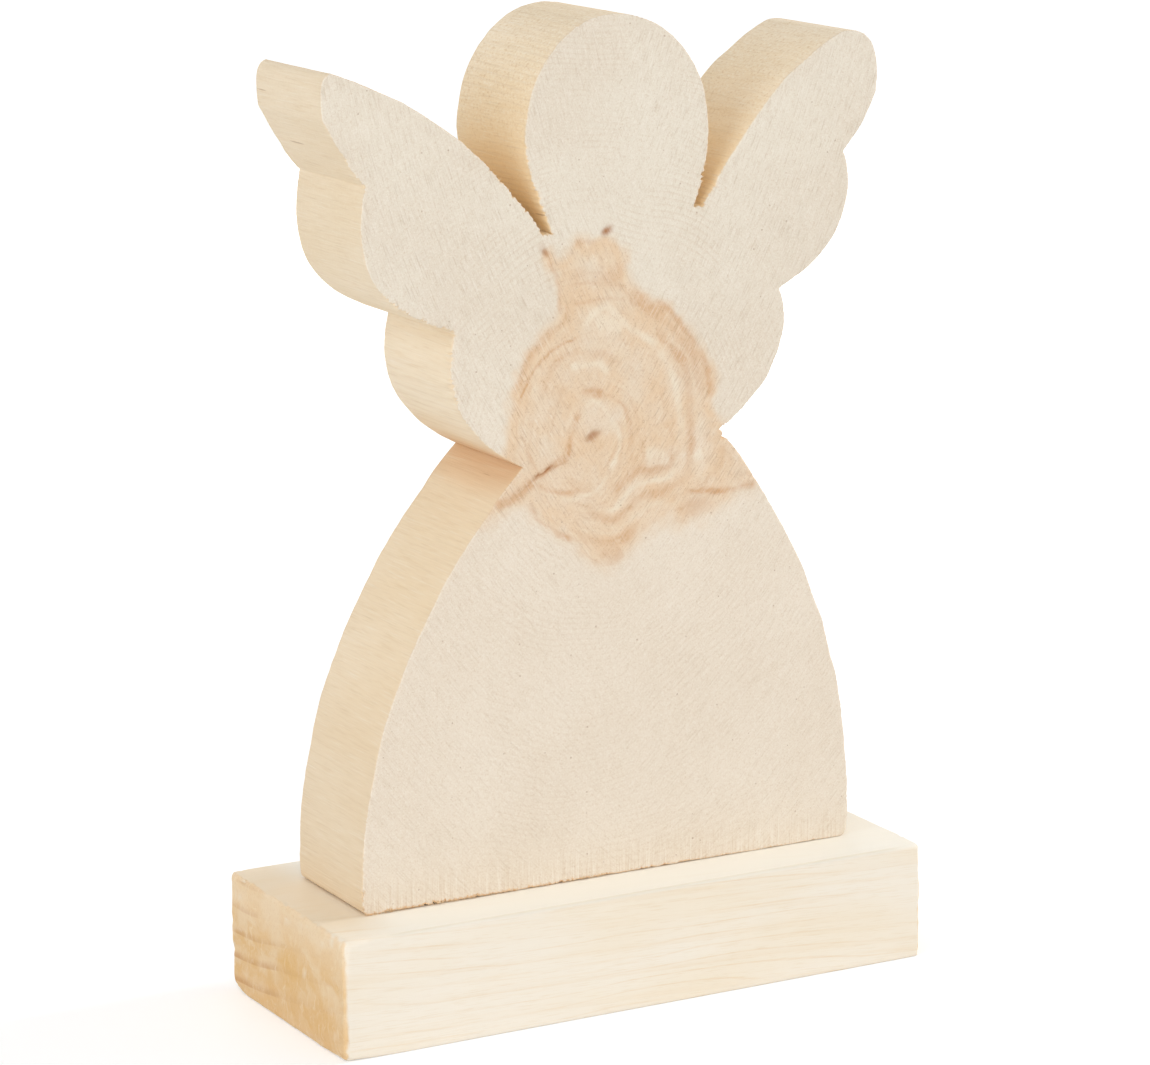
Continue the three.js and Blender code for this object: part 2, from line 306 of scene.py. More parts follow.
BROWN_STROKES = [
    # width in mm, strength, points in mm
    (1.3, 0.75, [(9.0, 143.8), (12.8, 141.0), (16.0, 137.5), (18.6, 133.6), (20.8, 129.6),
                 (22.2, 125.4), (22.4, 120.6)]),
    (1.8, 0.8, [(10.2, 137.6), (13.6, 133.2), (16.6, 128.6), (17.6, 124.0), (17.9, 119.4),
                (17.9, 114.4), (18.0, 109.6), (17.4, 105.6)]),
    (2.2, 0.55, [(3.5, 146.0), (8.0, 142.0), (13.0, 138.0), (17.0, 133.0), (19.6, 127.0), (20.2, 121.0)]),
    (0.5, 1.0, [(-7.9, 137.1), (-12.1, 135.8), (-15.4, 133.6), (-18.2, 130.3), (-20.4, 126.7),
                (-21.4, 124.4)]),
    (1.7, 0.7, [(-13.4, 139.4), (-17.0, 136.2), (-19.8, 132.0), (-21.8, 127.4)]),
    (0.9, 0.8, [(-14.6, 153.6), (-13.6, 150.4), (-12.3, 146.6), (-11.8, 141.4)]),
    (1.4, 0.4, [(-15.3, 125.2), (-14.9, 129.2), (-12.7, 132.4), (-9.3, 134.0), (-4.9, 133.8),
                (-0.4, 132.8)]),
    (1.5, 1.0, [(-7.4, 126.6), (-4.8, 125.9), (-2.2, 125.0)]),
    (0.9, 0.75, [(-3.4, 125.3), (-0.2, 124.4), (2.0, 122.6), (3.4, 120.0), (4.0, 116.4), (3.6, 112.6)]),
    (0.8, 0.8, [(-7.9, 121.9), (-9.3, 118.3), (-10.2, 115.0), (-10.3, 112.4)]),
    (1.6, 0.75, [(-0.4, 104.4), (2.9, 106.7), (5.7, 108.4), (10.1, 108.3), (13.2, 109.0), (14.7, 112.4)]),
    (1.5, 0.7, [(-6.4, 101.8), (-3.4, 100.2), (-0.4, 99.2), (2.9, 100.6), (6.2, 103.1), (10.7, 103.8),
                (15.7, 105.2), (18.9, 106.3)]),
    (1.8, 0.6, [(-8.2, 97.0), (-4.9, 95.4), (-0.4, 94.6), (2.9, 95.6), (6.8, 98.0)]),
    (2.6, 0.45, [(-3.0, 93.0), (-0.4, 91.9), (1.8, 93.2)]),
    (1.0, 0.7, [(-18.8, 104.2), (-16.6, 100.8), (-12.7, 97.8), (-8.8, 95.6)]),
    (1.0, 0.9, [(16.6, 103.2), (19.4, 102.8), (22.2, 102.6), (26.8, 102.2), (30.4, 102.6),
                (34.0, 103.6)]),
    (3.0, 0.45, [(15.0, 99.4), (19.0, 99.8), (23.4, 100.6)]),
    (1.0, 0.85, [(-17.9, 108.4), (-14.3, 106.5), (-10.6, 105.8), (-7.4, 106.2)]),
    (2.1, 0.9, [(-17.6, 108.8), (-21.0, 107.0), (-24.4, 105.4), (-27.0, 104.6)]),
    (1.6, 0.8, [(-20.0, 107.8), (-16.6, 109.9), (-13.2, 112.0), (-10.4, 113.4)]),
    (0.7, 0.6, [(-9.9, 147.3), (-5.0, 147.6), (-0.5, 147.2), (3.6, 146.4)]),
    (0.7, 0.45, [(-9.4, 143.6), (-5.6, 144.2), (-1.0, 144.6), (4.0, 143.8)]),
    (2.6, 0.4, [(-9.6, 149.6), (-5.2, 149.0), (0.6, 149.4), (1.6, 152.4)]),
    (1.2, 0.55, [(-8.8, 155.8), (-6.2, 156.2), (-3.6, 155.6)]),
    (0.6, 0.4, [(-20.6, 120.6), (-19.8, 115.8), (-18.4, 112.4), (-17.0, 109.6)]),
    (0.45, 0.5, [(10.0, 139.6), (10.6, 136.0), (13.4, 133.0), (15.6, 129.8)]),
]
PALE_STROKES = [
    (1.5, 0.9, [(-7.4, 138.4), (-4.9, 141.0), (-1.8, 143.0), (2.1, 139.6), (6.6, 136.6), (10.4, 133.2)]),
    (1.4, 0.9, [(10.4, 133.2), (13.2, 128.4), (14.9, 123.3), (15.7, 117.8), (15.4, 112.6)]),
    (3.2, 0.7, [(-4.2, 139.2), (-1.6, 139.6), (1.8, 137.4)]),
    (1.3, 0.85, [(-10.4, 131.0), (-7.1, 131.5), (-2.9, 131.0), (-0.6, 128.9)]),
    (1.3, 0.6, [(-17.0, 131.4), (-17.4, 128.4), (-17.0, 124.8)]),
    (1.1, 0.85, [(-7.2, 121.9), (-5.0, 123.9), (-2.3, 122.4), (-0.4, 119.4), (1.6, 115.8),
                 (0.9, 112.0), (-0.6, 108.8)]),
    (1.0, 0.6, [(-0.6, 108.8), (-2.6, 106.4), (-6.0, 104.9), (-9.8, 104.4), (-12.6, 105.0)]),
    (1.1, 0.8, [(-3.2, 101.6), (-0.4, 101.3), (1.8, 102.8), (5.1, 105.2), (8.4, 106.1), (12.3, 106.3),
                (15.1, 107.6)]),
    (1.0, 0.6, [(-8.8, 98.9), (-4.9, 97.4), (-0.4, 96.6), (4.0, 98.6), (8.4, 101.0), (12.9, 102.4)]),
    (2.4, 0.6, [(7.6, 112.0), (10.0, 112.2), (12.4, 111.2)]),
    (2.0, 0.65, [(19.4, 111.0), (20.4, 109.0)]),
    (2.2, 0.45, [(-5.6, 152.2), (-3.6, 151.6)]),
    (1.3, 0.5, [(19.4, 124.0), (20.2, 119.0), (20.6, 115.0)]),
]
HEART_RINGS = [
    # closed wavy rings in mm, from the pith outwards
    [(-7.1, 122.2), (-4.9, 123.9), (-2.1, 122.2), (-0.4, 118.9), (1.8, 115.6), (0.9, 112.0),
     (-0.6, 108.4), (-3.6, 106.2), (-7.4, 106.8), (-9.6, 110.0), (-9.8, 115.0), (-8.8, 119.0)],
    [(-7.6, 126.9), (-2.7, 125.4), (0.7, 124.1), (3.0, 121.8), (4.0, 118.6), (4.1, 115.2),
     (3.6, 110.6), (1.2, 105.8), (-2.6, 103.4), (-8.0, 104.0), (-12.2, 107.0), (-13.0, 113.0),
     (-11.2, 120.6)],
    [(-10.4, 131.3), (-7.1, 131.7), (-2.7, 131.2), (0.4, 129.2), (4.4, 127.4), (7.4, 123.0),
     (8.8, 117.0), (10.6, 111.6), (8.4, 106.4), (5.1, 105.0), (1.8, 102.6), (-0.4, 101.0),
     (-5.2, 101.4), (-11.8, 104.0), (-15.6, 109.4), (-16.0, 118.0), (-14.4, 126.6)],
    [(-7.7, 138.5), (-4.9, 141.4), (-1.8, 143.4), (2.3, 139.6), (6.8, 136.8), (10.7, 133.4),
     (13.5, 128.4), (15.2, 123.3), (15.9, 117.8), (15.9, 112.6), (16.6, 107.6), (12.9, 102.6),
     (8.4, 100.6), (4.0, 98.4), (-0.4, 96.2), (-4.9, 97.2), (-8.8, 98.9), (-14.2, 102.2),
     (-18.4, 107.4), (-19.4, 113.0), (-20.0, 119.0), (-18.8, 126.0), (-15.9, 131.6), (-11.7, 135.4)],
]
CRACK = [(-6.6, 115.6), (-9.9, 112.8), (-12.1, 111.8), (-15.4, 110.3), (-18.2, 108.7), (-21.0, 107.1)]
CRACK_WIDTHS = [0.06, 0.08, 0.16, 0.24, 0.2, 0.1]
DARK_SPOTS = [
    # x, z, half length, half width in mm, slope in degrees, how dark
    (PITH[0], PITH[1], 1.6, 0.9, 22, 0.72),
    (-1.4, 157.9, 1.35, 0.9, 35, 0.95),
    (-15.3, 154.5, 1.1, 0.7, -55, 0.7),
    (26.3, 113.9, 0.9, 0.5, -20, 0.9),
    (-2.7, 150.6, 0.3, 0.25, 0, 0.7),
    (-17.2, 109.7, 1.7, 0.18, 28, 0.9),
    (-15.0, 110.9, 1.5, 0.28, 33, 1),
]
print(len(BROWN_STROKES) + len(PALE_STROKES), "strokes and", len(DARK_SPOTS), "spots make the heart")

# %% [markdown]
# A stroke is a smooth line with a soft width. To find how near a vertex is to it, the line is cut
# into short steps and the nearest step wins. A closed line also has an inside, which is found by
# counting how often a level ray from the point crosses it.
# %% How near a point is to a line
def nearest_step(points, line):
    """For each point, how far it is from the line and which of its steps is nearest."""
    far = np.full(len(points), np.inf)
    which = np.zeros(len(points), int)
    for index, stop in enumerate(line):
        away = np.hypot(points[:, 0] - stop[0], points[:, 1] - stop[1])
        closer = away < far
        far[closer] = away[closer]
        which[closer] = index
    return far, which


def inside_ring(points, ring):
    inside = np.zeros(len(points), bool)
    x, z = points.T
    for (ax, az), (bx, bz) in zip(ring, np.roll(ring, -1, axis=0)):
        if az == bz:
            continue
        crosses = (az > z) != (bz > z)
        inside ^= crosses & (x < ax + (z - az) * (bx - ax) / (bz - az))
    return inside


def numbers_within(points, line, margin):
    """The numbers of the points that lie in the line's box, widened by a margin."""
    low, high = line.min(axis=0) - margin, line.max(axis=0) + margin
    return np.flatnonzero(((points > low) & (points < high)).all(axis=1))


crack_start = nearest_step(np.array([PITH]), CRACK)[0][0]
print("the crack starts", round(crack_start, 1), "mm from the pith")

# %% [markdown]
# With these, every point of the wood gets four tones: stain, brown, pale and dark. The points are
# first shaken by a small noise, so that no edge is ruler smooth.
# %% Tones at a point of the wood
STROKE_STEP = 0.25
STROKE_REACH = 2.5
STROKE_FADE = (-0.02, 0.12)
SHAKE = 0.22
SHAKE_LENGTH = 1.6
DRIFT = 0.4
DRIFT_LENGTH = 6
EDGE_MARGIN = 4
FULL_CRACK = 0.5


def stroke_tone(points, strokes):
    tone = np.zeros(len(points))
    for number, (width, strength, line) in enumerate(strokes):
        line = fair_curve(line, STROKE_STEP)
        near = numbers_within(points, line, STROKE_REACH * width)
        if not len(near):
            continue
        far, which = nearest_step(points[near], line)
        share = which / (len(line) - 1)
        swell = 0.75 + 0.45 * soft_noise(share[:, None] * len(line) * STROKE_STEP, 4, seed=40 + number)
        taper = ease(share, *STROKE_FADE) * ease(1 - share, *STROKE_FADE)
        soft = np.exp(-(far / (0.66 * width * (0.5 + 0.5 * swell)))**3)
        tone[near] = np.maximum(tone[near], strength * soft * taper * swell)
    return np.clip(tone, 0, 1)


def heart_tones(points):
    """Stain, brown, pale and dark tones, from 0 to 1, at points given in mm."""
    shaken = points + SHAKE * soft_push(points, SHAKE_LENGTH, seed=21)
    shaken += DRIFT * soft_push(points, DRIFT_LENGTH, seed=23)
    edge = fair_curve(np.vstack([HEART_EDGE, HEART_EDGE[:1]]), STROKE_STEP)
    stain = np.zeros(len(points))
    near = numbers_within(shaken, edge, EDGE_MARGIN)
    if len(near):
        far, _ = nearest_step(shaken[near], edge)
        depth = np.where(inside_ring(shaken[near], edge), far, -far)
        depth += 0.9 * soft_noise(shaken[near], 1.9, seed=27)
        blotch = 0.72 + 0.3 * soft_noise(shaken[near], 5, seed=25)
        blotch += 0.12 * soft_noise(shaken[near], 1.4, seed=26)
        above = ease(shaken[near, 1], 98, 110)
        rim = (0.06 + 0.18 * above) * np.exp(-((depth - 1) / 1.5)**2)
        blur = 3.4 - 1.4 * above
        stain[near] = np.clip(ease(depth / blur, -1, 1) * blotch + rim, 0, 1)
    brown = stroke_tone(shaken, BROWN_STROKES)
    pale = stroke_tone(shaken, PALE_STROKES)
    dark = crack_depth(shaken)
    for x, z, long, wide, slope, darkness in DARK_SPOTS:
        dark = np.maximum(dark, darkness * spot_depth(shaken, x, z, long, wide, slope))
    return stain, brown, pale, dark


def crack_depth(points):
    line = fair_curve(CRACK, STROKE_STEP)
    widths = np.interp(np.linspace(0, 1, len(line)), np.linspace(0, 1, len(CRACK)), CRACK_WIDTHS)
    far, which = nearest_step(points, line)
    return np.exp(-(far / widths[which])**2) * np.clip(widths[which] / FULL_CRACK, 0, 1)


def spot_depth(points, x, z, long, wide, slope):
    turn = math.radians(slope)
    along = (points[:, 0] - x) * math.cos(turn) + (points[:, 1] - z) * math.sin(turn)
    across = -(points[:, 0] - x) * math.sin(turn) + (points[:, 1] - z) * math.cos(turn)
    return np.exp(-((along / long)**2 + (across / wide)**2)**1.5)


sample = heart_tones(np.array([PITH, (10.0, 120.0), (-40.0, 60.0)]))
print("stain, brown, pale, dark at the pith, in the heart and in the skirt:")
print(np.round(np.array(sample).T, 2))

# %% [markdown]
# The wavy lines between the strokes follow the heart's own rings. So each point also gets a level: it
# counts the drawn rings from the pith outwards, with fractions in between, and later a noise along
# the level makes the lines.
# %% Ring level
OUTER_RING = 4
SMALLEST = 1e-6


def ring_level(points):
    """Counts the heart's rings outwards from the pith, with fractions in between."""
    level = np.zeros(len(points))
    inner = np.hypot(points[:, 0] - PITH[0], points[:, 1] - PITH[1])
    outside = np.ones(len(points), bool)
    for number, ring in enumerate([*HEART_RINGS, HEART_EDGE]):
        line = fair_curve(np.vstack([ring, ring[:1]]), STROKE_STEP)
        outer, _ = nearest_step(points, line)
        within = inside_ring(points, line) & outside
        level[within] = number + (inner / np.maximum(inner + outer, SMALLEST))[within]
        outside &= ~within
        inner = outer
    level[outside] = len(HEART_RINGS) + 1 + inner[outside] / OUTER_RING
    return level


steps = ring_level(np.array([PITH, (-4.0, 125.0), (10.0, 130.0)]))
print("levels from the pith outwards:", np.round(steps, 2))

# %% [markdown]
# ## The slice's skin
# The slice could be an extruded curve with a bevel, but then every edge would be alike. Its skin is
# built in rows instead. The first rows are the rim of the front face, the next rows roll over the
# soft front edge, more rows run back along the sawn wall, and the last rows roll over to the back
# face. Each row can move each of its points, so the wall gets saw ridges that run from front to back
# and the front edge gets its tears.
# %% Rows from the front face to the back
EDGE_SOFTNESS = 0.34 * MM
HEM_SOFTNESS = 0.12 * MM
EDGE_ROWS = 5
RIM_WIDTH = 0.25 * MM
WALL_ROWS = 12
RIDGE_LENGTH = 0.9 * MM
RIDGE_HEIGHT = 0.055 * MM
TEAR_REACH = 1.6 * MM

slice_low, slice_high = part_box("angel_figure")
slice_front = slice_low.y
slice_depth = slice_high.y - slice_low.y
softness = EDGE_SOFTNESS * (1 + 0.55 * soft_noise(outline_travel[:, None], 4 * MM, seed=7))
worn_hem = ease(soft_noise(outline_travel[:, None], 1.3 * MM, seed=34), -0.3, 0.5)
softness = np.where(hem, HEM_SOFTNESS * (0.3 + 1.2 * worn_hem), softness) + 0.5 * torn


def wall_relief(travel, depth):
    """How far the sawn wall stands proud: ridges along the blade, and short fuzz."""
    place = np.stack([travel, depth], axis=1)
    ridges = soft_noise(place, (RIDGE_LENGTH, 40 * MM), seed=8)
    coarse = soft_noise(place, (3.2 * RIDGE_LENGTH, 60 * MM), seed=9)
    fuzz = soft_noise(place, (0.7 * RIDGE_LENGTH, 2.5 * MM), seed=10)
    return RIDGE_HEIGHT * (0.7 * ridges + 0.8 * coarse + 0.45 * fuzz)


def skin_rows():
    """The rows of the skin as (inset, depth) for each step of the outline."""
    rows = [(softness + torn + RIM_WIDTH, 0 * softness)]
    roll = np.linspace(0, math.pi / 2, EDGE_ROWS)
    for angle in roll:
        rows.append((softness * (1 - math.sin(angle)) + torn, softness * (1 - math.cos(angle))))
    for share in np.linspace(0, 1, WALL_ROWS + 2)[1:-1]:
        share = 0.5 - 0.5 * math.cos(math.pi * share)
        depth = softness + (slice_depth - 2 * softness) * share
        relief = wall_relief(outline_travel, depth)
        rows.append((torn * np.exp(-(depth - softness) / TEAR_REACH) - relief, depth))
    for angle in roll[::-1]:
        rows.append((softness * (1 - math.sin(angle)), slice_depth - softness * (1 - math.cos(angle))))
    rows.append((softness + RIM_WIDTH, slice_depth + 0 * softness))
    return rows


rows = skin_rows()
print(len(rows), "rows of", len(outline), "points")

# %% [markdown]
# The hem stands on the block. There the wall must not swell outwards, or it would sink into the lath,
# so its inset is never less than nothing. Towards the left the cut rises a hair off the block, which
# leaves the thin dark line that shows under the real hem.
# %% Keep the hem clear of the block
HEM_LIFT = 0.1 * MM
HEM_WAVE = 0.05 * MM

lift = HEM_LIFT * ease(-outline[:, 0], 25 * MM, 58 * MM)
lift += HEM_WAVE * (1 + soft_noise(outline_travel[:, None], 5 * MM, seed=11))
ring_points = []
for inset, depth in rows:
    behind_front = 0.1 + 0.9 * ease(depth, 0.5 * MM, 3 * MM)
    inset = np.where(hem, np.maximum(inset, 0) + lift * behind_front, inset)
    moved = outline + outline_out * (wander - inset)[:, None]
    moved[:, 1] = np.maximum(moved[:, 1], slice_low.z)
    ring_points.append(np.stack([moved[:, 0], slice_front + depth, moved[:, 1]], axis=1))
print("lowest point of the hem", round(min(r[:, 2].min() for r in ring_points) / MM, 2), "mm")

# %% [markdown]
# ## Filling the two faces
# A face with a single polygon could carry no crack and no tones. The face is filled with a scatter of
# points: a coarse honeycomb over the plain wood, a fine one over the heart and extra points beside
# the crack. A Delaunay triangulation then joins them to the rim.
# %% Scatter points over a face
COARSE_CELL = 1.5 * MM
FINE_CELL = 0.5 * MM
CRACK_CELL = 0.16 * MM
HEART_MIDDLE = np.array([0.5, 122.5]) * MM
HEART_REACH = np.array([33.0, 38.0]) * MM
PITH_REACH = 2.6 * MM
RIM_GAP = 0.45 * MM
BESIDE_CRACK = (-5, -3, -1.5, 0, 1.5, 3, 5)
WELD_FACE = 1e-9


def honeycomb(low, high, cell):
    xs = np.arange(low[0], high[0], cell)
    zs = np.arange(low[1], high[1], cell * math.sqrt(3) / 2)
    grid = [np.stack([xs + cell / 2 * (k % 2), np.full(len(xs), z)], axis=1) for k, z in enumerate(zs)]
    return np.vstack(grid)


def clear_of(points, others, gap):
    """Keeps the points that lie further than gap from all the others."""
    lookup = {}
    for number, cell in enumerate(map(tuple, np.floor(others / gap).astype(int))):
        lookup.setdefault(cell, []).append(number)
    keep = np.ones(len(points), bool)
    for number, cell in enumerate(np.floor(points / gap).astype(int)):
        beside = [
            k
            for dx, dz in itertools.product((-1, 0, 1), repeat=2)
            for k in lookup.get((cell[0] + dx, cell[1] + dz), ())
        ]
        if beside and np.hypot(*(others[beside] - points[number]).T).min() < gap:
            keep[number] = False
    return points[keep]


def face_scatter(rim):
    low, high = rim.min(axis=0), rim.max(axis=0)
    line = fair_curve(np.array(CRACK) * MM, 2 * CRACK_CELL)
    across = np.array([0.3, 1.0])
    beside = [line + across * offset * CRACK_CELL for offset in BESIDE_CRACK]
    pith = np.array(PITH) * MM
    around = honeycomb(pith - PITH_REACH, pith + PITH_REACH, 1.6 * CRACK_CELL)
    detail = np.vstack([clear_of(around, np.vstack(beside), CRACK_CELL), *beside])
    fine = honeycomb(HEART_MIDDLE - HEART_REACH, HEART_MIDDLE + HEART_REACH, FINE_CELL)
    fine = fine[(((fine - HEART_MIDDLE) / HEART_REACH)**2).sum(axis=1) < 1]
    fine = np.vstack([detail, clear_of(fine, detail, 0.8 * FINE_CELL)])
    coarse = honeycomb(low, high, COARSE_CELL)
    coarse = coarse[(((coarse - HEART_MIDDLE) / (HEART_REACH + COARSE_CELL / 2))**2).sum(axis=1) > 1]
    points = np.vstack([fine, coarse])
    points = points[inside_ring(points, rim)]
    return clear_of(points, rim, RIM_GAP)


def filled(rim, scatter):
    """Triangles over the rim and the scattered points, as indices into rim then scatter."""
    corners = [Vector(p) for p in np.vstack([rim, scatter])]
    edges = [(k, (k + 1) % len(rim)) for k in range(len(rim))]
    _, _, triangles, origins, _, _ = geometry.delaunay_2d_cdt(corners, edges, [], 1, WELD_FACE)
    first = [numbers[0] for numbers in origins]
    return np.array([[first[k] for k in triangle] for triangle in triangles])


front_rim = ring_points[0][:, [0, 2]]
back_rim = ring_points[-1][:, [0, 2]]
front_scatter = face_scatter(front_rim)
back_scatter = face_scatter(back_rim)
front_faces = filled(front_rim, front_scatter)
back_faces = filled(back_rim, back_scatter)
print(len(front_scatter), "points on the front,", len(front_faces), "triangles; back", len(back_faces))

# %% [markdown]
# Now rows and faces are joined into one closed mesh. The faces get a faint sanded waviness, and the
# crack, the pith and the two small knots are pressed in by as much as they are dark.
# %% Join the slice
SANDED_WAVE = 0.035 * MM
CRACK_DEPTH = 0.3 * MM
TRUNK_LEAN = (0.05, -0.06)
HEART_STRAY = 0.09
STRAY_LENGTH = 11


def mesh_piece(name, points, polygons):
    mesh = bpy.data.meshes.new(name)
    mesh.from_pydata([tuple(p) for p in points], [], [tuple(int(k) for k in p) for p in polygons])
    mesh.validate()
    made = bpy.data.objects.new(name, mesh)
    bpy.context.scene.collection.objects.link(made)
    return made


def heart_place(places):
    """Where the drawn heart meets a place in the slice: a trunk leans, and its heart wanders with depth."""
    depth = (places[:, 1:2] - slice_front) / MM
    flat = places[:, [0, 2]] / MM
    stray = HEART_STRAY * soft_push(flat, STRAY_LENGTH, seed=28)
    return flat + depth * (np.array(TRUNK_LEAN) + stray)


def face_points(scatter, depth, inward, seed):
    """Lifts a face's scattered points to its plane, with sanded waves and the pressed-in heart."""
    level = slice_front + depth + SANDED_WAVE * soft_noise(scatter, 9 * MM, seed=seed)
    lifted = np.stack([scatter[:, 0], level, scatter[:, 1]], axis=1)
    lifted[:, 1] += inward * CRACK_DEPTH * heart_tones(heart_place(lifted))[3]
    return lifted


count = len(outline)
walls = []
for row in range(len(rows) - 1):
    a = row * count + np.arange(count)
    b = row * count + (np.arange(count) + 1) % count
    walls.append(np.stack([a, b, b + count, a + count], axis=1))
walls = np.vstack(walls)
front_index = np.r_[np.arange(count), len(rows) * count + np.arange(len(front_scatter))]
back_start = len(rows) * count + len(front_scatter)
last_row = (len(rows) - 1) * count
back_index = np.r_[last_row + np.arange(count), back_start + np.arange(len(back_scatter))]
points = np.vstack([
    *ring_points,
    face_points(front_scatter, 0, 1, seed=12),
    face_points(back_scatter, slice_depth, -1, seed=13),
])
polygons = [*walls[:, ::-1], *front_index[front_faces], *back_index[back_faces][:, ::-1]]
angel = mesh_piece("angel_slice", points, polygons)
print("angel slice:", len(angel.data.vertices), "vertices,", len(angel.data.polygons), "faces")

# %% [markdown]
# ## Screw holes
# Two screws hold the angel from below. Their holes are turned shapes, so one profile spun round an
# axis makes each cutter, and a boolean takes it out of the wood. The screws' places and sizes are
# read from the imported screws.
# %% Turned shapes
HOLE_STEPS = 40


def no_swell(height, turn):
    return 0


def turned_piece(name, profile, place, swell=no_swell):
    """Spins a profile of (radius, height) round an upright axis. Both its ends lie on the axis."""
    turns = np.linspace(0, 2 * math.pi, HOLE_STEPS, endpoint=False)
    body = profile[1:-1]
    reach = [(r + swell(h, t), t, h) for r, h in body for t in turns]
    points = [(r * math.cos(t), r * math.sin(t), h) for r, t, h in reach]
    points += [(0, 0, profile[0][1]), (0, 0, profile[-1][1])]
    polygons = []
    for k in range(HOLE_STEPS):
        n = (k + 1) % HOLE_STEPS
        for row in range(len(body) - 1):
            low, high = row * HOLE_STEPS, (row + 1) * HOLE_STEPS
            polygons.append((low + k, low + n, high + n, high + k))
        polygons.append((len(points) - 2, n, k))
        last = (len(body) - 1) * HOLE_STEPS
        polygons.append((len(points) - 1, last + k, last + n))
    return mesh_piece(name, np.array(points) + np.array(place), polygons)


print("each ring of a hole has", HOLE_STEPS, "steps")

# %% [markdown]
# A hole is wider than its screw by the clearance, from the mouth under the block to the tip in the
# slice. The cutter is thrown away after the cut.
# %% Drill the slice
CLEARANCE = 0.3 * MM
SHANK_RADIUS = 2 * MM
SHANK_LENGTH = 20 * MM
THREAD_RADIUS = 1.95 * MM
THREAD_ROOM = 0.05 * MM
HEAD_RIM = 0.5 * MM
SCREW_NODES = ("fixing_screw_left", "fixing_screw_right")


def hole_profile(screw_low, screw_high):
    head = (screw_high.x - screw_low.x) / 2 + CLEARANCE
    shank = SHANK_RADIUS + CLEARANCE
    core = THREAD_RADIUS + THREAD_ROOM
    length = screw_high.z - screw_low.z
    mouth = -screw_low.z - CLEARANCE
    rim = HEAD_RIM + CLEARANCE
    shank_end = HEAD_RIM + head - CLEARANCE - SHANK_RADIUS + SHANK_LENGTH + CLEARANCE
    return [
        (0, mouth), (head, mouth), (head, rim), (shank, rim + head - shank), (shank, shank_end),
        (core, shank_end + shank - core), (core, length + CLEARANCE), (0, length + CLEARANCE + core),
    ]


def cut_away(piece, cutter):
    cut = piece.modifiers.new("cut", "BOOLEAN")
    cut.operation = "DIFFERENCE"
    cut.solver = "MANIFOLD"
    cut.object = cutter
    bpy.context.view_layer.update()
    rest = bpy.data.meshes.new_from_object(piece.evaluated_get(bpy.context.evaluated_depsgraph_get()))
    piece.modifiers.clear()
    piece.data = rest
    bpy.data.objects.remove(cutter)


def screw_foot(low, high):
    return ((low.x + high.x) / 2, (low.y + high.y) / 2, low.z)


def drill(piece):
    for node in SCREW_NODES:
        low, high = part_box(node)
        cut_away(piece, turned_piece("cutter", hole_profile(low, high), screw_foot(low, high)))


drill(angel)
print("after drilling:", len(angel.data.vertices), "vertices")

# %% [markdown]
# ## Tones on the slice
# The drilled mesh now gets its tones as named attributes, one number for each vertex. The wood's
# material reads them later. End grain is a tone too: it is full on the two faces and fades over the
# soft edge.
# %% Places and tones of vertices
def vertex_places(piece):
    places = np.empty(len(piece.data.vertices) * 3, np.float32)
    piece.data.vertices.foreach_get("co", places)
    return places.reshape(-1, 3).astype(float)


def set_tone(piece, name, values):
    tone = piece.data.attributes.new(name, "FLOAT", "POINT")
    tone.data.foreach_set("value", np.asarray(values, np.float32))


def smooth_shading(piece, angle):
    piece.data.shade_smooth()
    piece.data.set_sharp_from_angle(angle=math.radians(angle))


def nearest_outline(places):
    """The number of the outline step nearest to each place."""
    tree = kdtree.KDTree(len(outline))
    for number, (x, z) in enumerate(outline):
        tree.insert((x, 0, z), number)
    tree.balance()
    return np.array([tree.find((x, 0, z))[1] for x, y, z in places])


places = vertex_places(angel)
beside = nearest_outline(places)
print(len(places), "vertices, each with its nearest step of the outline")

# %% [markdown]
# The face gets the drawn heart. In the two notches beside the head the walls get painted bounce light: a
# warmer, brighter tone for the light that is thrown to and fro between the walls. In the creases at the
# waist, where the heart comes out at the side, they get a brown tone that is partly the heart's stain and
# partly painted shade in the creases.
# %% Heart, rims and notches
SHARP_ANGLE = 42
FAR_LEVEL = 9.0
HEART_MARGIN = 4 * MM
SOFT_END = (0.1 * MM, 0.5 * MM)
SOFT_RIM = (0.05 * MM, 0.15 * MM)
FRAY_DEPTH = 0.6 * MM
HEM_FRAY = 2.2
SIDE_FRAY = 0.1
MOST_FRAY = 0.85
NOTCH_BOTTOMS = ((-15.5, 158.5), (19.4, 160.5))
NOTCH_REACH = 22
WAIST_CREASES = ((-22.0, 111.5), (26.2, 114.6))
NOTCH_SLOPE = 0.55
CREASE_REACH = 7

from_front = places[:, 1] - slice_front
from_back = slice_front + slice_depth - places[:, 1]
drawn = heart_place(places)
stain, brown, pale, dark = heart_tones(drawn)
end_grain = 1 - ease(np.minimum(from_front, from_back) - CRACK_DEPTH * dark, *SOFT_END)
level = np.full(len(places), FAR_LEVEL)
from_middle = np.hypot(*(places[:, [0, 2]] - HEART_MIDDLE).T)
heart = np.flatnonzero(from_middle < HEART_REACH.max() + HEART_MARGIN)
level[heart] = ring_level(drawn[heart])
set_tone(angel, "ring_level", level)
inset = np.einsum("ij,ij->i", outline[beside] - places[:, [0, 2]], outline_out[beside])
on_rim = 1 - ease(inset - softness[beside] - torn[beside], *SOFT_RIM)
on_rim *= np.exp(-from_front / (2 * FRAY_DEPTH))
fray = np.where(hem, HEM_FRAY, SIDE_FRAY)[beside] * torn[beside] / FRAY_DEPTH * on_rim
set_tone(angel, "fray", np.clip(fray, 0, MOST_FRAY))
# Painted bounce light: a tone for the notches beside the head, where light is thrown to and fro between the
# walls.
painted_bounce = np.zeros(len(places))
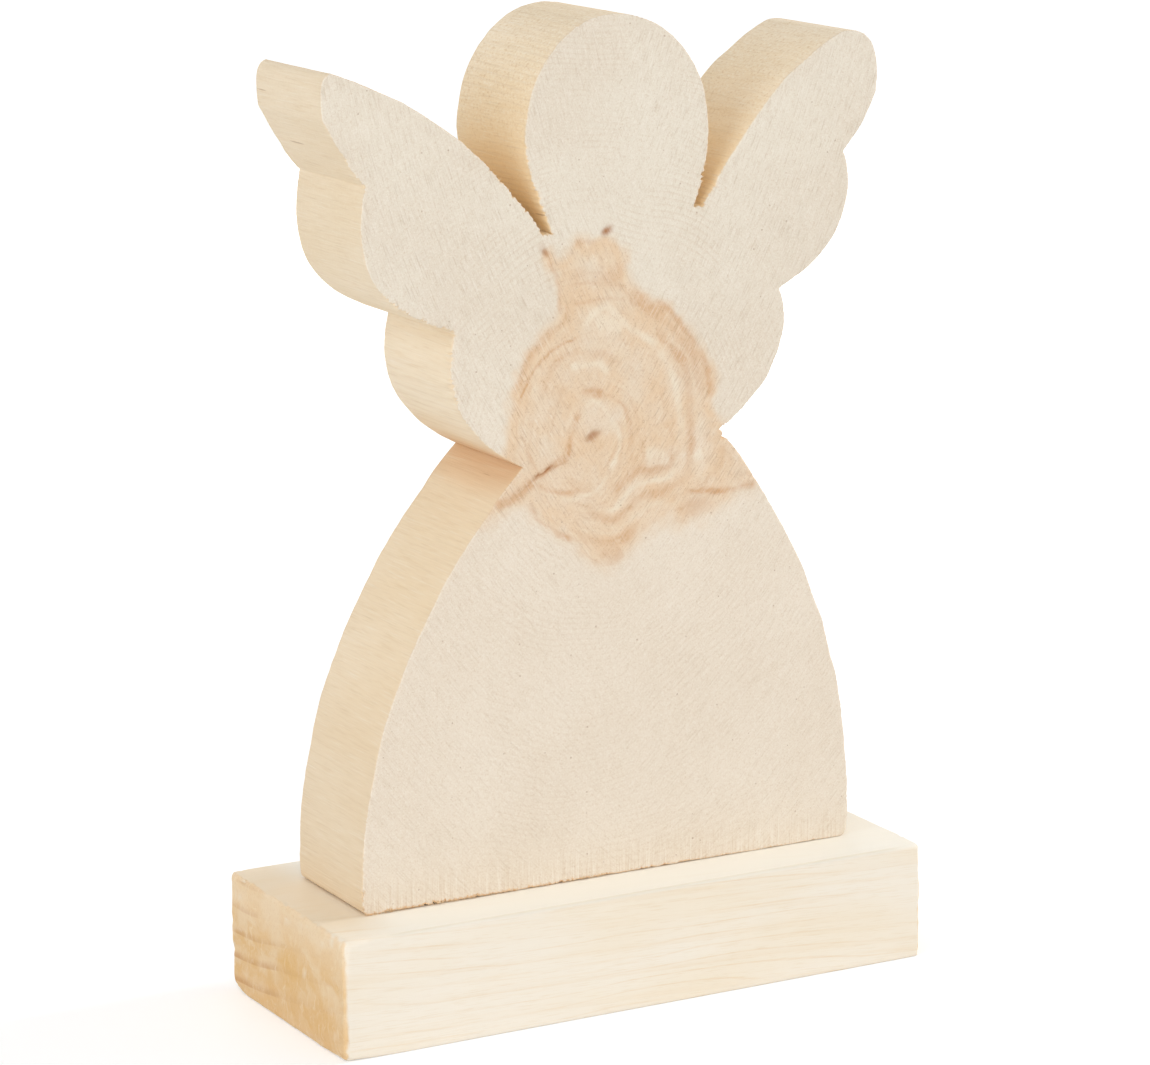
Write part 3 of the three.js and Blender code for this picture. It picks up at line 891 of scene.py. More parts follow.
for x, z in NOTCH_BOTTOMS:
    across = np.abs(places[:, 0] / MM - x)
    above = places[:, 2] / MM - z
    in_notch = ease(above - NOTCH_SLOPE * across, -3, 1)
    painted_bounce = np.maximum(painted_bounce, in_notch * np.exp(-(np.hypot(across, above) / NOTCH_REACH)**2))
set_tone(angel, "painted_bounce", painted_bounce)
# The waist creases: partly the heart's stain where it comes out at the side, partly painted shade in the
# creases.
from_crease = [np.hypot(places[:, 0] / MM - x, places[:, 2] / MM - z) for x, z in WAIST_CREASES]
uneven = 1 + 0.35 * soft_noise(places, (2.5 * MM, 30 * MM, 2.5 * MM), seed=31)
crease_reach = CREASE_REACH * uneven
crease_stain_and_shade = np.exp(-(np.minimum(*from_crease) / crease_reach)**1.6)
set_tone(angel, "end_grain", end_grain)
# On the walls the stain and brown tones carry the creases' stain and their painted shade.
set_tone(angel, "stain", stain * end_grain + crease_stain_and_shade * (1 - end_grain))
crease_brown_and_shade = 0.4 * crease_stain_and_shade**2
set_tone(angel, "brown", brown * end_grain + crease_brown_and_shade * (1 - end_grain))
set_tone(angel, "pale", pale * end_grain)
set_tone(angel, "dark", dark * end_grain)
smooth_shading(angel, SHARP_ANGLE)
print("stained vertices:", int((stain > 0.5).sum()), "dark:", int((dark > 0.5).sum()))

# %% [markdown]
# ## Loose fibres
# A saw that leaves the wood pulls some fibres out without cutting them. They hang on along the hem
# and stand off the crown, the wing tips and the two notches as hairs. Each one is a three-sided
# sliver, rooted in the edge and bent once on its way to a point. A seeded generator places them, so
# they are the same in every run.
# %% One sliver
SLIVER_POINTS = 7
SLIVER_FACES = [(0, 2, 1), (0, 1, 4, 3), (1, 2, 5, 4), (2, 0, 3, 5), (3, 4, 6), (4, 5, 6), (5, 3, 6)]


def sliver(root, tip, thickness):
    """A closed three-sided spike of seven points that bends a little half way."""
    along = tip - root
    across = Vector((along.z, along.x, along.y)).cross(along).normalized()
    beside = along.cross(across).normalized()
    middle = root + 0.55 * along + 0.18 * along.length * across
    rings = []
    for centre, radius in ((root, thickness), (middle, 0.6 * thickness)):
        for k in range(3):
            turn = 2 * math.pi * k / 3
            rings.append(centre + radius * (math.cos(turn) * across + math.sin(turn) * beside))
    return [*rings, tip]


print("a sliver has", SLIVER_POINTS, "points and", len(SLIVER_FACES), "faces")

# %% [markdown]
# The hem has the most fibres, and the left end of it more than the right. Each spot says where fibres
# stand, how long the longest is, how many there are and how brown they have become.
# %% Slivers along the edges
FIBRE_SEED = 5
FIBRE_SPOTS = [
    # x and z of the middle, reach along the edge, longest fibre, all in mm, then how many and how brown
    (-44.0, 24.8, 14.0, 1.4, 240, 0.3),
    (-18.0, 24.8, 16.0, 1.1, 170, 0.35),
    (16.0, 24.8, 26.0, 0.7, 80, 0.5),
    (-20.5, 165.0, 9.0, 0.8, 40, 0.25),
    (19.5, 166.0, 7.0, 0.8, 30, 0.25),
    (-8.0, 199.0, 12.0, 0.7, 26, 0.1),
    (47.0, 194.0, 13.0, 0.7, 30, 0.1),
    (-57.0, 190.0, 9.0, 0.6, 18, 0.3),
    (-46.0, 143.5, 10.0, 0.6, 24, 0.15),
]
FIBRE_THICKNESS = (0.05, 0.11)
HEM_FRINGE = 0.5 * MM
ROOT_DEPTH = 0.12 * MM
ROOT_BEHIND = Vector((0, 0.1 * MM, 0))
FIBRE_FLOOR = slice_low.z + 0.12 * MM
EDGE_MIDDLE_ROW = 3

draw = np.random.default_rng(FIBRE_SEED)
fibre_points = []
fibre_faces = []
fibre_age = []
edge_ring = ring_points[EDGE_MIDDLE_ROW]
for x, z, reach, longest, many, age in FIBRE_SPOTS:
    away = np.hypot(outline[:, 0] - x * MM, outline[:, 1] - z * MM)
    near = np.flatnonzero(away < reach * MM)
    for step in draw.choice(near, many):
        out = Vector((outline_out[step, 0], 0, outline_out[step, 1]))
        onward = Vector((-out.z, 0, out.x))
        lean = onward * draw.normal(0, 0.8) + out * draw.uniform(0.1, 0.9)
        lean -= Vector((0, draw.uniform(0.2, 0.9), 0))
        length = longest * MM * draw.uniform(0.3, 1)
        root = Vector(edge_ring[step]) - ROOT_DEPTH * out + ROOT_BEHIND
        root.z += HEM_FRINGE * draw.uniform(0, 1) * hem[step]
        tip = root + lean.normalized() * length
        root.z = max(root.z, FIBRE_FLOOR)
        tip.z = max(tip.z, FIBRE_FLOOR)
        start = len(fibre_points)
        fibre_points += sliver(root, tip, MM * draw.uniform(*FIBRE_THICKNESS))
        fibre_faces += [[start + k for k in face] for face in SLIVER_FACES]
        fibre_age += [age * draw.uniform(0.6, 1.1)] * SLIVER_POINTS
fibres = mesh_piece("torn_fibres", fibre_points, fibre_faces)
set_tone(fibres, "fray", np.clip(fibre_age, 0, MOST_FRAY))
set_tone(fibres, "ring_level", np.full(len(fibre_points), FAR_LEVEL))
print(len(fibre_points) // SLIVER_POINTS, "fibres, longest", max(spot[3] for spot in FIBRE_SPOTS), "mm")

# %% [markdown]
# ## The block of lath
# The block could be a cube with a bevel, but a real offcut has edges worn by different amounts, a
# chipped corner and ends that the saw left rough. Its skin starts as a lattice of points on a sharp
# box, closer together near the edges. Each point is then pulled back to a rounding whose radius
# changes from place to place.
# %% A lattice on a box
EDGE_CELL = 0.3 * MM
EDGE_BAND = 3 * MM
BLOCK_CELL = 1.4 * MM
block_low, block_high = (np.array(c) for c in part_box("base_block"))


def lattice_line(low, high):
    band = np.arange(0, EDGE_BAND, EDGE_CELL)
    cells = round((high - low - 2 * EDGE_BAND) / BLOCK_CELL)
    between = np.linspace(low + EDGE_BAND, high - EDGE_BAND, cells + 1)
    return np.r_[low + band, between, high - band[::-1]]


def box_skin(low, high):
    lines = [lattice_line(a, b) for a, b in zip(low, high)]
    sizes = [len(line) for line in lines]
    number = np.full(sizes, -1)
    grid = np.stack(np.meshgrid(*[np.arange(s) for s in sizes], indexing="ij"), axis=-1).reshape(-1, 3)
    shell = grid[((grid == 0) | (grid == np.array(sizes) - 1)).any(axis=1)]
    number[tuple(shell.T)] = np.arange(len(shell))
    places = np.stack([lines[axis][shell[:, axis]] for axis in range(3)], axis=1)
    polygons = []
    for axis in range(3):
        u, v = (axis + 1) % 3, (axis + 2) % 3
        for side in (0, sizes[axis] - 1):
            sheet = np.take(number, side, axis=axis)
            if u > v:
                sheet = sheet.T
            corners = [sheet[:-1, :-1], sheet[1:, :-1], sheet[1:, 1:], sheet[:-1, 1:]]
            quads = np.stack(corners, axis=-1).reshape(-1, 4)
            polygons.append(quads if side else quads[:, ::-1])
    return places, np.vstack(polygons)


block_points, block_polygons = box_skin(block_low, block_high)
print("block lattice:", len(block_points), "points,", len(block_polygons), "faces")

# %% [markdown]
# Wear is not even: the front top edge is soft, the left end's front corner is rubbed round and the
# back corner at the floor has lost a chip. Every rounding pulls inwards, so the block never grows
# past its true size.
# %% Wear the edges and roughen the ends
PLANED_SOFTNESS = 0.45 * MM
SAWN_SOFTNESS = 0.3 * MM
SOFTNESS_LIMITS = (0.2 * MM, 5 * MM)
CHIP_SIZE = 1.7 * MM
WORN_PLACES = [
    # corner as signs of x, y, z, reach and added softness in mm
    ((-1, -1, 1), 8.0, 1.3),
    ((-1, 1, -1), 4.5, 1.3),
    ((-1, -1, -1), 7.0, 0.8),
    ((1, -1, 1), 6.0, 0.8),
    ((1, 1, 1), 7.0, 1.0),
    ((-1, 1, -0.38), 1.4, 1.2),
]
END_ROUGHNESS = 0.15 * MM
PLANED_RELIEF = 0.05 * MM
TEAR_RUN = 9
CORE_DEPTH = 2 * MM
NO_LENGTH = 1e-9
middle = (block_low + block_high) / 2
half = (block_high - block_low) / 2


def edge_softness(points):
    place = (points - middle) / half
    soft = PLANED_SOFTNESS * (1 + 0.35 * soft_noise(points, (14 * MM, 6 * MM, 6 * MM), seed=14))
    at_end = ease(np.abs(place[:, 0]), 0.94, 1)
    soft += at_end * SAWN_SOFTNESS * (1 + 0.5 * soft_noise(points, 2.6 * MM, seed=15))
    off_floor = ease(place[:, 2], -1, -0.8) * ease(place[:, 1], -1, -0.7)
    soft += at_end * off_floor * CHIP_SIZE * ease(soft_noise(points, 1.3 * MM, seed=30), 0.32, 0.7)
    for signs, reach, more in WORN_PLACES:
        away = np.linalg.norm(points - (middle + half * signs), axis=1)
        wear = more * MM * np.exp(-(away / (reach * MM))**2)
        soft += wear * (1 + 0.2 * soft_noise(points, 3 * MM, seed=16))
    return np.clip(soft, *SOFTNESS_LIMITS)


def worn(points):
    soft = edge_softness(points)[:, None]
    core = np.clip(points, block_low + soft, block_high - soft)
    away = points - core
    reach = np.linalg.norm(away, axis=1, keepdims=True)
    return core + away / np.maximum(reach, NO_LENGTH) * np.minimum(reach, soft)


def block_relief(points):
    """How far each point is pressed in: saw tear on the ends, faint planed grain on the long faces."""
    place = (points - middle) / half
    on_end = ease(np.abs(place[:, 0]), 0.985, 1)
    tear = soft_noise(points, (TEAR_RUN, 1.3 * MM, 0.9 * MM), seed=17)
    tear += soft_noise(points, (TEAR_RUN, 4 * MM, 2.6 * MM), seed=18)
    grain = soft_noise(points, (60 * MM, 1.1 * MM, 1.1 * MM), seed=19)
    grain += 0.7 * soft_noise(points, (90 * MM, 4 * MM, 4 * MM), seed=20)
    sawn = END_ROUGHNESS * (1.2 + 0.6 * tear)
    planed = PLANED_RELIEF * (1 + 0.5 * grain)
    return on_end * sawn + (1 - on_end) * planed


press = block_relief(block_points)
core = np.clip(block_points, block_low + CORE_DEPTH, block_high - CORE_DEPTH)
inward = core - block_points
inward /= np.maximum(np.linalg.norm(inward, axis=1, keepdims=True), NO_LENGTH)
bottom = ease(-(block_points[:, 2] - middle[2]) / half[2], 0.97, 1)
skin = worn(block_points) + inward * (press * (1 - bottom))[:, None]
block = mesh_piece("lath_block", skin, block_polygons)
drill(block)
places = vertex_places(block)
print("block box in mm:", np.round(places.min(0) / MM, 2), np.round(places.max(0) / MM, 2))

# %% [markdown]
# The block has two tones. End grain is full on the two ends and stops at a ragged line, a little later at
# the left end than at the right. Painted shade runs along the rounded front top edge, a darker tone that
# dims the highlight the rounded edge would catch.
# %% Tones on the block
RAGGED = 0.45 * MM
LEFT_SAWN_EDGE = 0.45 * MM
RIGHT_SAWN_EDGE = 0.1 * MM
SAWN_FADE = 0.5 * MM
EDGE_SHADE_WIDTH = 0.35 * MM

share = np.abs(places[:, 0] - middle[0]) / half[0]
ragged = RAGGED * soft_noise(places, 1.1 * MM, seed=27)
from_end = half[0] * (1 - share) + ragged
sawn_edge = np.where(places[:, 0] < middle[0], LEFT_SAWN_EDGE, RIGHT_SAWN_EDGE)
set_tone(block, "end_grain", 1 - ease(from_end - sawn_edge, 0, SAWN_FADE))
# Painted shade along the rounded front top edge.
from_edge = [places[:, 1] - block_low[1], block_high[2] - places[:, 2]]
rubbed_and_edge_shade = np.exp(-sum((gap / EDGE_SHADE_WIDTH)**2 for gap in from_edge))
set_tone(block, "rubbed_and_edge_shade", rubbed_and_edge_shade / rubbed_and_edge_shade.max())
smooth_shading(block, SHARP_ANGLE)
print("end grain vertices:", int((share > 0.99).sum()))

# %% [markdown]
# ## Mixing a finish from nodes
# A wood finish needs many nodes, and wiring them one by one would hide the recipe. So each output of
# a node is wrapped in a small class: sums and products of such tones add the nodes that work them
# out, and a recipe reads like arithmetic. Colours are written as they look on a screen and turned
# into light values.
# %% Tones that add their own nodes
NUMBERS_FROM_VECTORS = ("LENGTH", "DISTANCE")


def feed(socket, value):
    if isinstance(value, Tone):
        socket.id_data.links.new(value.socket, socket)
    else:
        socket.default_value = value


def wired(tree, kind, *feeds, **settings):
    """Adds a node, sets it up and feeds its first sockets with tones or plain values."""
    made = tree.nodes.new(kind)
    for name, value in settings.items():
        setattr(made, name, value)
    for socket, value in zip(made.inputs, feeds):
        feed(socket, value)
    return made


def work(operation, *values):
    """A sum of numbers or, where one of the values is a place or a colour, of vectors."""
    sockets = [value.socket for value in values if isinstance(value, Tone)]
    vectors = any(socket.type != "VALUE" for socket in sockets)
    kind = "ShaderNodeVectorMath" if vectors else "ShaderNodeMath"
    made = wired(sockets[0].id_data, kind, *values, operation=operation)
    return Tone(made, "Vector" if vectors and operation not in NUMBERS_FROM_VECTORS else "Value")


class Tone:
    """One output of a node: a number, a colour or a place for each spot of the surface."""

    def __init__(self, node, outlet=0):
        self.socket = node.outputs[outlet]

    def __add__(self, other):
        return work("ADD", self, other)

    def __sub__(self, other):
        return work("SUBTRACT", self, other)

    def __rsub__(self, other):
        return work("SUBTRACT", other, self)

    def __mul__(self, other):
        return work("MULTIPLY", self, other)

    def __truediv__(self, other):
        return work("DIVIDE", self, other)

    def ramp(self, low, high, start=0.0, end=1.0):
        """Goes smoothly from start, where this tone is low, to end, where it is high."""
        tree = self.socket.id_data
        limits = (self, low, high, start, end)
        return Tone(wired(tree, "ShaderNodeMapRange", *limits, interpolation_type="SMOOTHSTEP"), "Result")

    def tinted(self, amount, colour):
        """This colour with an amount of another laid over it."""
        return mixed(amount, self, colour)


print("sums of tones add nodes, and", len(NUMBERS_FROM_VECTORS), "of the vector sums give a number")

# %% [markdown]
# A recipe gathers what the finishes share: the place on the object in millimetres, the tones of the
# vertices, noise that is stretched along the grain and, at the end, the bump and the sockets of the
# shader.
# %% Colours, noise and the recipe itself
MIX_UNDER, MIX_OVER, MIX_RESULT = 6, 7, 2


def screen(red, green, blue):
    """A colour as it looks on a screen, from 0 to 255, as light values."""
    share = np.array([red, green, blue]) / 255
    light = np.where(share <= 0.04045, share / 12.92, ((share + 0.055) / 1.055)**2.4)
    return (*light.tolist(), 1)


def mixed(amount, under, over):
    """One colour over another. A colour is a tone, or red, green and blue from 0 to 255."""
    made = wired(amount.socket.id_data, "ShaderNodeMix", amount, data_type="RGBA", clamp_factor=True)
    for number, colour in ((MIX_UNDER, under), (MIX_OVER, over)):
        feed(made.inputs[number], screen(*colour) if isinstance(colour, tuple) else colour)
    return Tone(made, MIX_RESULT)


def split(vector):
    apart = wired(vector.socket.id_data, "ShaderNodeSeparateXYZ", vector)
    return [Tone(apart, number) for number in range(3)]


def joined(*numbers):
    tree = next(number.socket.id_data for number in numbers if isinstance(number, Tone))
    return Tone(wired(tree, "ShaderNodeCombineXYZ", *numbers))


class Recipe:
    """A material under construction, with the place on the object in mm."""

    def __init__(self, name):
        self.material = bpy.data.materials.new(name)
        self.material.use_nodes = True
        self.tree = self.material.node_tree
        self.shader = self.tree.nodes["Principled BSDF"]
        self.place = Tone(wired(self.tree, "ShaderNodeTexCoord"), "Object") * ([1 / MM] * 3)
        self.x, self.y, self.z = split(self.place)

    def tone(self, name):
        """A tone that the vertices carry."""
        return Tone(wired(self.tree, "ShaderNodeAttribute", attribute_name=name), "Fac")

    def noise(self, lengths, place=None, detail=2.0, roughness=0.5, outlet="Fac"):
        """Noise whose swells have the given lengths in mm along x, y and z."""
        stretched = (place or self.place) * [1 / length for length in lengths]
        made = wired(self.tree, "ShaderNodeTexNoise")
        settings = {"Vector": stretched, "Scale": 1, "Detail": detail, "Roughness": roughness}
        for name, value in settings.items():
            feed(made.inputs[name], value)
        return Tone(made, outlet)

    def sway(self, lengths, reach, detail):
        """A push along x, y and z, of half the reach in mm either way, that changes with the place."""
        return (self.noise(lengths, detail=detail, outlet="Color") - (0.5, 0.5, 0.5)) * reach

    def finish(self, colour, roughness, height, depth, strength):
        """Feeds the shader. The height is felt as a bump of the given depth."""
        bump = wired(self.tree, "ShaderNodeBump")
        for name, value in {"Strength": strength, "Distance": depth, "Height": height}.items():
            feed(bump.inputs[name], value)
        for name, value in {"Base Color": colour, "Roughness": roughness, "Normal": Tone(bump)}.items():
            feed(self.shader.inputs[name], value)
        return self.material


def cover(piece, material):
    piece.data.materials.clear()
    piece.data.materials.append(material)


print("mid grey as a light value:", round(screen(128, 128, 128)[0], 3))

# %% [markdown]
# ## The slice's wood
# Seen end-on, wood shows growth rings about the pith and thousands of cut fibre ends. Seen from the
# side, the same rings and fibres run as long lines from front to back. One solid recipe gives both:
# rings are distances from an axis through the pith, and the fibres are a noise that is stretched
# along the log. First come the plain face and wall.
# %% Plain face and wall
def face_colour(wood, cloudy):
    """Sanded end grain, a little greyer towards the head."""
    lower = mixed(cloudy, (238, 225, 207), (235, 221, 202))
    upper = mixed(cloudy, (235, 225, 208), (231, 219, 201))
    return mixed(wood.z.ramp(90, 160), lower, upper)


def wall_colour(wood, cloudy, strand):
    """The sawn walls: painted bounce light in the notches, fuzzy on the high ones, and painted shade that
    greys them at the left wing's tip.
    """
    low_wall = mixed(cloudy, (241, 221, 191), (238, 214, 179))
    high_wall = mixed(cloudy, (245, 229, 203), (241, 222, 191))
    wall = mixed(wood.z.ramp(40, 150), low_wall, high_wall)
    wall = wall.tinted(strand.ramp(0.5, 0.75, 0, 0.26), (223, 195, 155))
    # Painted shade: the walls grow greyer towards the left wing's tip.
    wall = wall.tinted(wood.x.ramp(-46, -60, 0, 0.45), (229, 210, 181))
    # Painted bounce light: a warmer, brighter tone on the walls in the notches beside the head, which also
    # thins the fuzz there.
    painted_bounce = wood.tone("painted_bounce")
    wall = wall.tinted(painted_bounce * 0.9, (255, 228, 182))
    fuzz = wood.noise((0.5, 0.8, 0.5), roughness=0.65)
    fuzzy = wood.z.ramp(120, 160) * wood.x.ramp(-36, -26, 0.2, 1) * painted_bounce.ramp(0.1, 0.7, 1, 0.4)
    wall = wall.tinted(fuzz.ramp(0.52, 0.75, 0, 0.5) * fuzzy, (211, 176, 130))
    return wall.tinted(fuzz.ramp(0.48, 0.26, 0, 0.6) * fuzzy, (253, 243, 224))


print("plain face as light values:", [round(c, 3) for c in screen(238, 225, 207)[:3]])

# %% [markdown]
# The years show as thin darker lines, open pores as specks, and the disc sander left two families of
# fine arcs. The arcs belong to the faces alone, so they are faded by the end grain's tone.
# %% Years, pores and scratches
RING_WIDTH = 1.25
SCRATCH_CENTRES = ((197, 249), (-190, 262))
SCRATCH_RADIUS = 270


def year_lines(wood):
    """Thin darker lines where each year's growth ended, about an axis through the pith."""
    from_pith = wood.place - (PITH[0], 0, PITH[1]) + wood.sway((34, 160, 34), (9, 0, 9), detail=1)
    radius = work("LENGTH", from_pith * (1, 0.02, 1))
    year = work("FRACT", radius / RING_WIDTH + wood.noise((60, 400, 60)) * 9)
    late = year.ramp(0.45, 0.9) * year.ramp(1.0, 0.9)
    return late * wood.noise((13, 60, 13)).ramp(0.36, 0.66)


def pores(wood):
    """Sparse dark specks: dots on the faces, short dashes along the walls."""
    cell = wired(wood.tree, "ShaderNodeTexVoronoi", feature="F1")
    feed(cell.inputs["Vector"], wood.place * (0.52, 0.03, 0.52))
    feed(cell.inputs["Scale"], 1)
    chosen = Tone(wired(wood.tree, "ShaderNodeSeparateColor", Tone(cell, "Color")), "Red")
    size = chosen.ramp(0.6, 1.0, 0.0, 0.13)
    return (size - Tone(cell, "Distance")).ramp(0.0, 0.05)


def scratches(wood):
    """Fine arcs that a big disc sander leaves: one family falls to the right, the other to the left."""
    side = wood.x * 0.03 + wood.noise((22, 40, 22), detail=1) * 1.6
    sides = (side.ramp(1.25, 0.35), side.ramp(0.35, 1.25))
    scored = []
    rubbed_and_edge_shade = []
    for number, (x, z) in enumerate(SCRATCH_CENTRES):
        flat = (wood.place - (x, 0, z)) * (1, 0, 1)
        across, _, upward = split(flat)
        travel = work("ARCTAN2", upward, across) * SCRATCH_RADIUS
        polar = joined(work("LENGTH", flat), travel, 31 * number)
        line = wood.noise((0.3, 5, 1), place=polar, roughness=0.6)
        weight = sides[number] * wood.tone("end_grain")
        scored.append(line.ramp(0.53, 0.74) * weight)
        rubbed_and_edge_shade.append(line.ramp(0.47, 0.26) * weight)
    return scored[0] + scored[1], rubbed_and_edge_shade[0] + rubbed_and_edge_shade[1]


print("a new year every", RING_WIDTH, "mm;", len(SCRATCH_CENTRES), "families of scratches")

# %% [markdown]
# The heart's tones were given to the vertices. Here they get their colours, one coat over the other, and
# between the drawn strokes a noise follows the heart's rings, so that the stain has fine wavy lines of its
# own. At the hem the torn fibres are yellow with dark brown patches; along the bottom of the hem an orange
# line and these patches are partly torn fibres and partly painted contact shade where the hem meets the
# block.
# %% Heart and hem
HEM_HEIGHT = slice_low.z / MM


def heart_colours(wood, colour):
    """Stain, wavy rings, brown and pale strokes, then the dark crack, over the plain wood."""
    stain = wood.tone("stain")
    colour = colour.tinted(stain * 0.6, (232, 193, 147))
    level = wood.tone("ring_level") + wood.noise((3.5, 60, 3.5)) * 0.7
    along = joined(level, wood.x * 0.05, wood.z * 0.05)
    wavy = wood.noise((0.3, 1, 1), place=along, detail=3, roughness=0.6)
    shown = stain * wood.noise((5, 60, 5)).ramp(0.36, 0.62)
    colour = colour.tinted(wavy.ramp(0.5, 0.68) * shown * 0.32, (205, 158, 110))
    colour = colour.tinted(wavy.ramp(0.48, 0.32) * shown * 0.36, (241, 226, 200))
    broken = wood.noise((0.9, 40, 0.9), detail=3).ramp(0.32, 0.62, 0.7, 1.05)
    colour = colour.tinted(wood.tone("brown") * broken * 0.7, (206, 152, 100))
    colour = colour.tinted(wood.tone("pale") * 0.95, (242, 229, 207))
    return colour.tinted(wood.tone("dark") * 0.95, (170, 110, 60))


def hem_colours(wood, colour):
    """Torn fibres with dark brown patches, along the hem and on the loose slivers; at the hem's bottom
    partly painted contact shade.
    """
    # Partly torn fibres, partly painted contact shade: an orange line along the lowest half millimetre of
    # the hem, stronger to the left.
    line = wood.z.ramp(HEM_HEIGHT + 0.5, HEM_HEIGHT + 0.15) * wood.x.ramp(45, -35, 0.3, 0.8)
    ragged = wood.noise((0.6, 3, 0.3)).ramp(0.4, 0.6, 0.3, 1)
    fray = work("MAXIMUM", wood.tone("fray"), line * ragged)
    # Dark brown patches on the frayed places: brown on the loose slivers, partly painted contact shade
    # along the hem's bottom.
    dark_brown_and_contact_shade = wood.noise((0.9, 2, 0.5)).ramp(0.48, 0.6)
    colour = colour.tinted(fray, (232, 186, 128))
    return colour.tinted(dark_brown_and_contact_shade * fray.ramp(0.3, 0.85, 0, 0.5), (172, 114, 68))


print("the hem's line is drawn at", round(HEM_HEIGHT, 1), "mm")

# %% [markdown]
# Now the coats go over each other in the order in which the wood got them: growth first, then the
# saw, the sander and the dust.
# %% Recipe for the sliced log
BUMP_DEPTH = 0.11 * MM
BUMP_STRENGTH = 0.8


def log_wood():
    wood = Recipe("slice_wood")
    end = wood.tone("end_grain")
    fibre = wood.noise((0.3, 9, 0.3), roughness=0.65)
    strand = wood.noise((0.9, 9, 0.9), roughness=0.6)
    cloudy = wood.noise((24, 60, 24)).ramp(0.35, 0.68)
    calm = wood.z.ramp(70, 125, 0.66, 1)
    inner = work("ABSOLUTE", wood.x).ramp(22, 44, 0.2, 0.07)
    clear = end.ramp(0, 1, 0.55, 1)

    colour = mixed(end, wall_colour(wood, cloudy, strand), face_colour(wood, cloudy))
    colour = colour.tinted(year_lines(wood) * (calm * inner), (208, 182, 152))
    colour = colour.tinted(fibre.ramp(0.52, 0.78, 0, 0.46) * clear, (205, 178, 146))
    colour = colour.tinted(fibre.ramp(0.48, 0.25, 0, 0.45) * clear, (251, 244, 231))
    combed = wood.z.ramp(34, 26) * end
    comb = wood.noise((0.28, 30, 8), detail=1)
    colour = colour.tinted(comb.ramp(0.54, 0.7, 0, 0.22) * combed, (206, 178, 144))
    colour = colour.tinted(comb.ramp(0.44, 0.3, 0, 0.42) * combed, (250, 243, 230))
    colour = heart_colours(wood, colour)

    stain = wood.tone("stain").ramp(0.1, 0.8)
    dust = mixed(stain, (194, 168, 138), (170, 128, 92))
    scored, rubbed_and_edge_shade = (marks * calm for marks in scratches(wood))
    colour = colour.tinted(scored * stain.ramp(0, 1, 0.3, 0.37), dust)
    colour = colour.tinted(rubbed_and_edge_shade * stain.ramp(0, 1, 0.32, 0.34), (250, 243, 232))
    speck = wood.noise((0.34, 9, 0.34), detail=1).ramp(0.6, 0.74, 0, 0.3)
    colour = colour.tinted(stain * end * speck, (178, 132, 92))
    colour = colour.tinted(pores(wood) * 0.45, (158, 116, 78))
    colour = colour.tinted(end * (1.0 - end) * 0.9, (232, 196, 148))
    colour = hem_colours(wood, colour)

    wood.shader.inputs["Specular IOR Level"].default_value = 0.25
    height = fibre * 0.8 + strand * 0.5 + scored * -0.5
    return wood.finish(colour, strand.ramp(0.3, 0.7, 0.72, 0.86), height, BUMP_DEPTH, BUMP_STRENGTH)


slice_finish = log_wood()
for piece in (angel, fibres):
    cover(piece, slice_finish)
print("slice wood has", len(slice_finish.node_tree.nodes), "nodes")

# %% [markdown]
# ## The block's wood
# The lath is softwood, sawn along the tree and planed. Its rings come from a tree whose middle lay
# far above the block, so the left end shows wide bowed bands and the long faces show fine lines that
# wander a little. The ends are darker and oranger, because cut fibres drink in light and dust.
# %% Long faces and sawn ends
RESIN_PLACE = (-67.5, -1, 12.5)


def planed_face(wood, years, late, fibre, strand, patchy):
    """The lath's long faces: pale, with fine year lines, a whiter top, painted shadow on the top's left end
    and painted shade along the top front edge.
    """
    cloudy = wood.noise((60, 13, 13)).ramp(0.38, 0.66)
    face = mixed(cloudy, (247, 238, 223), (246, 234, 214))
    face = face.tinted(late * 0.14, (236, 210, 170))
    face = face.tinted(fibre.ramp(0.5, 0.76, 0, 0.38), (231, 208, 172))
    face = face.tinted(strand.ramp(0.58, 0.75, 0, 0.2), (238, 214, 175))
    season = years * 2.1 + wood.noise((70, 16, 16)) * 2.6
    crisp = work("PINGPONG", season, 0.5).ramp(0.1, 0.01)
    crisp = crisp * patchy.ramp(0.38, 0.64, 0.03, 0.38) * fibre.ramp(0.3, 0.6, 0.3, 1)
    face = face.tinted(crisp, (231, 202, 158))
    # The top is whiter, but not at its left end.
    top = wood.z.ramp(23.8, 24.6)
    face = face.tinted(top * wood.x.ramp(-66, -50, 0, 0.85), (246, 242, 231))
    # Painted shadow: behind the slice's front the top's left end is warmer and darker, where the slice
    # casts its shadow.
    painted_slice_shadow = top * wood.x.ramp(-50, -62, 0, 0.6) * wood.y.ramp(-24, -14, 0.15, 1)
    face = face.tinted(painted_slice_shadow, (234, 211, 175))
    # Painted shade: darker along the rounded top front edge, where it would catch a highlight.
    return face.tinted(wood.tone("rubbed_and_edge_shade"), (230, 218, 197))


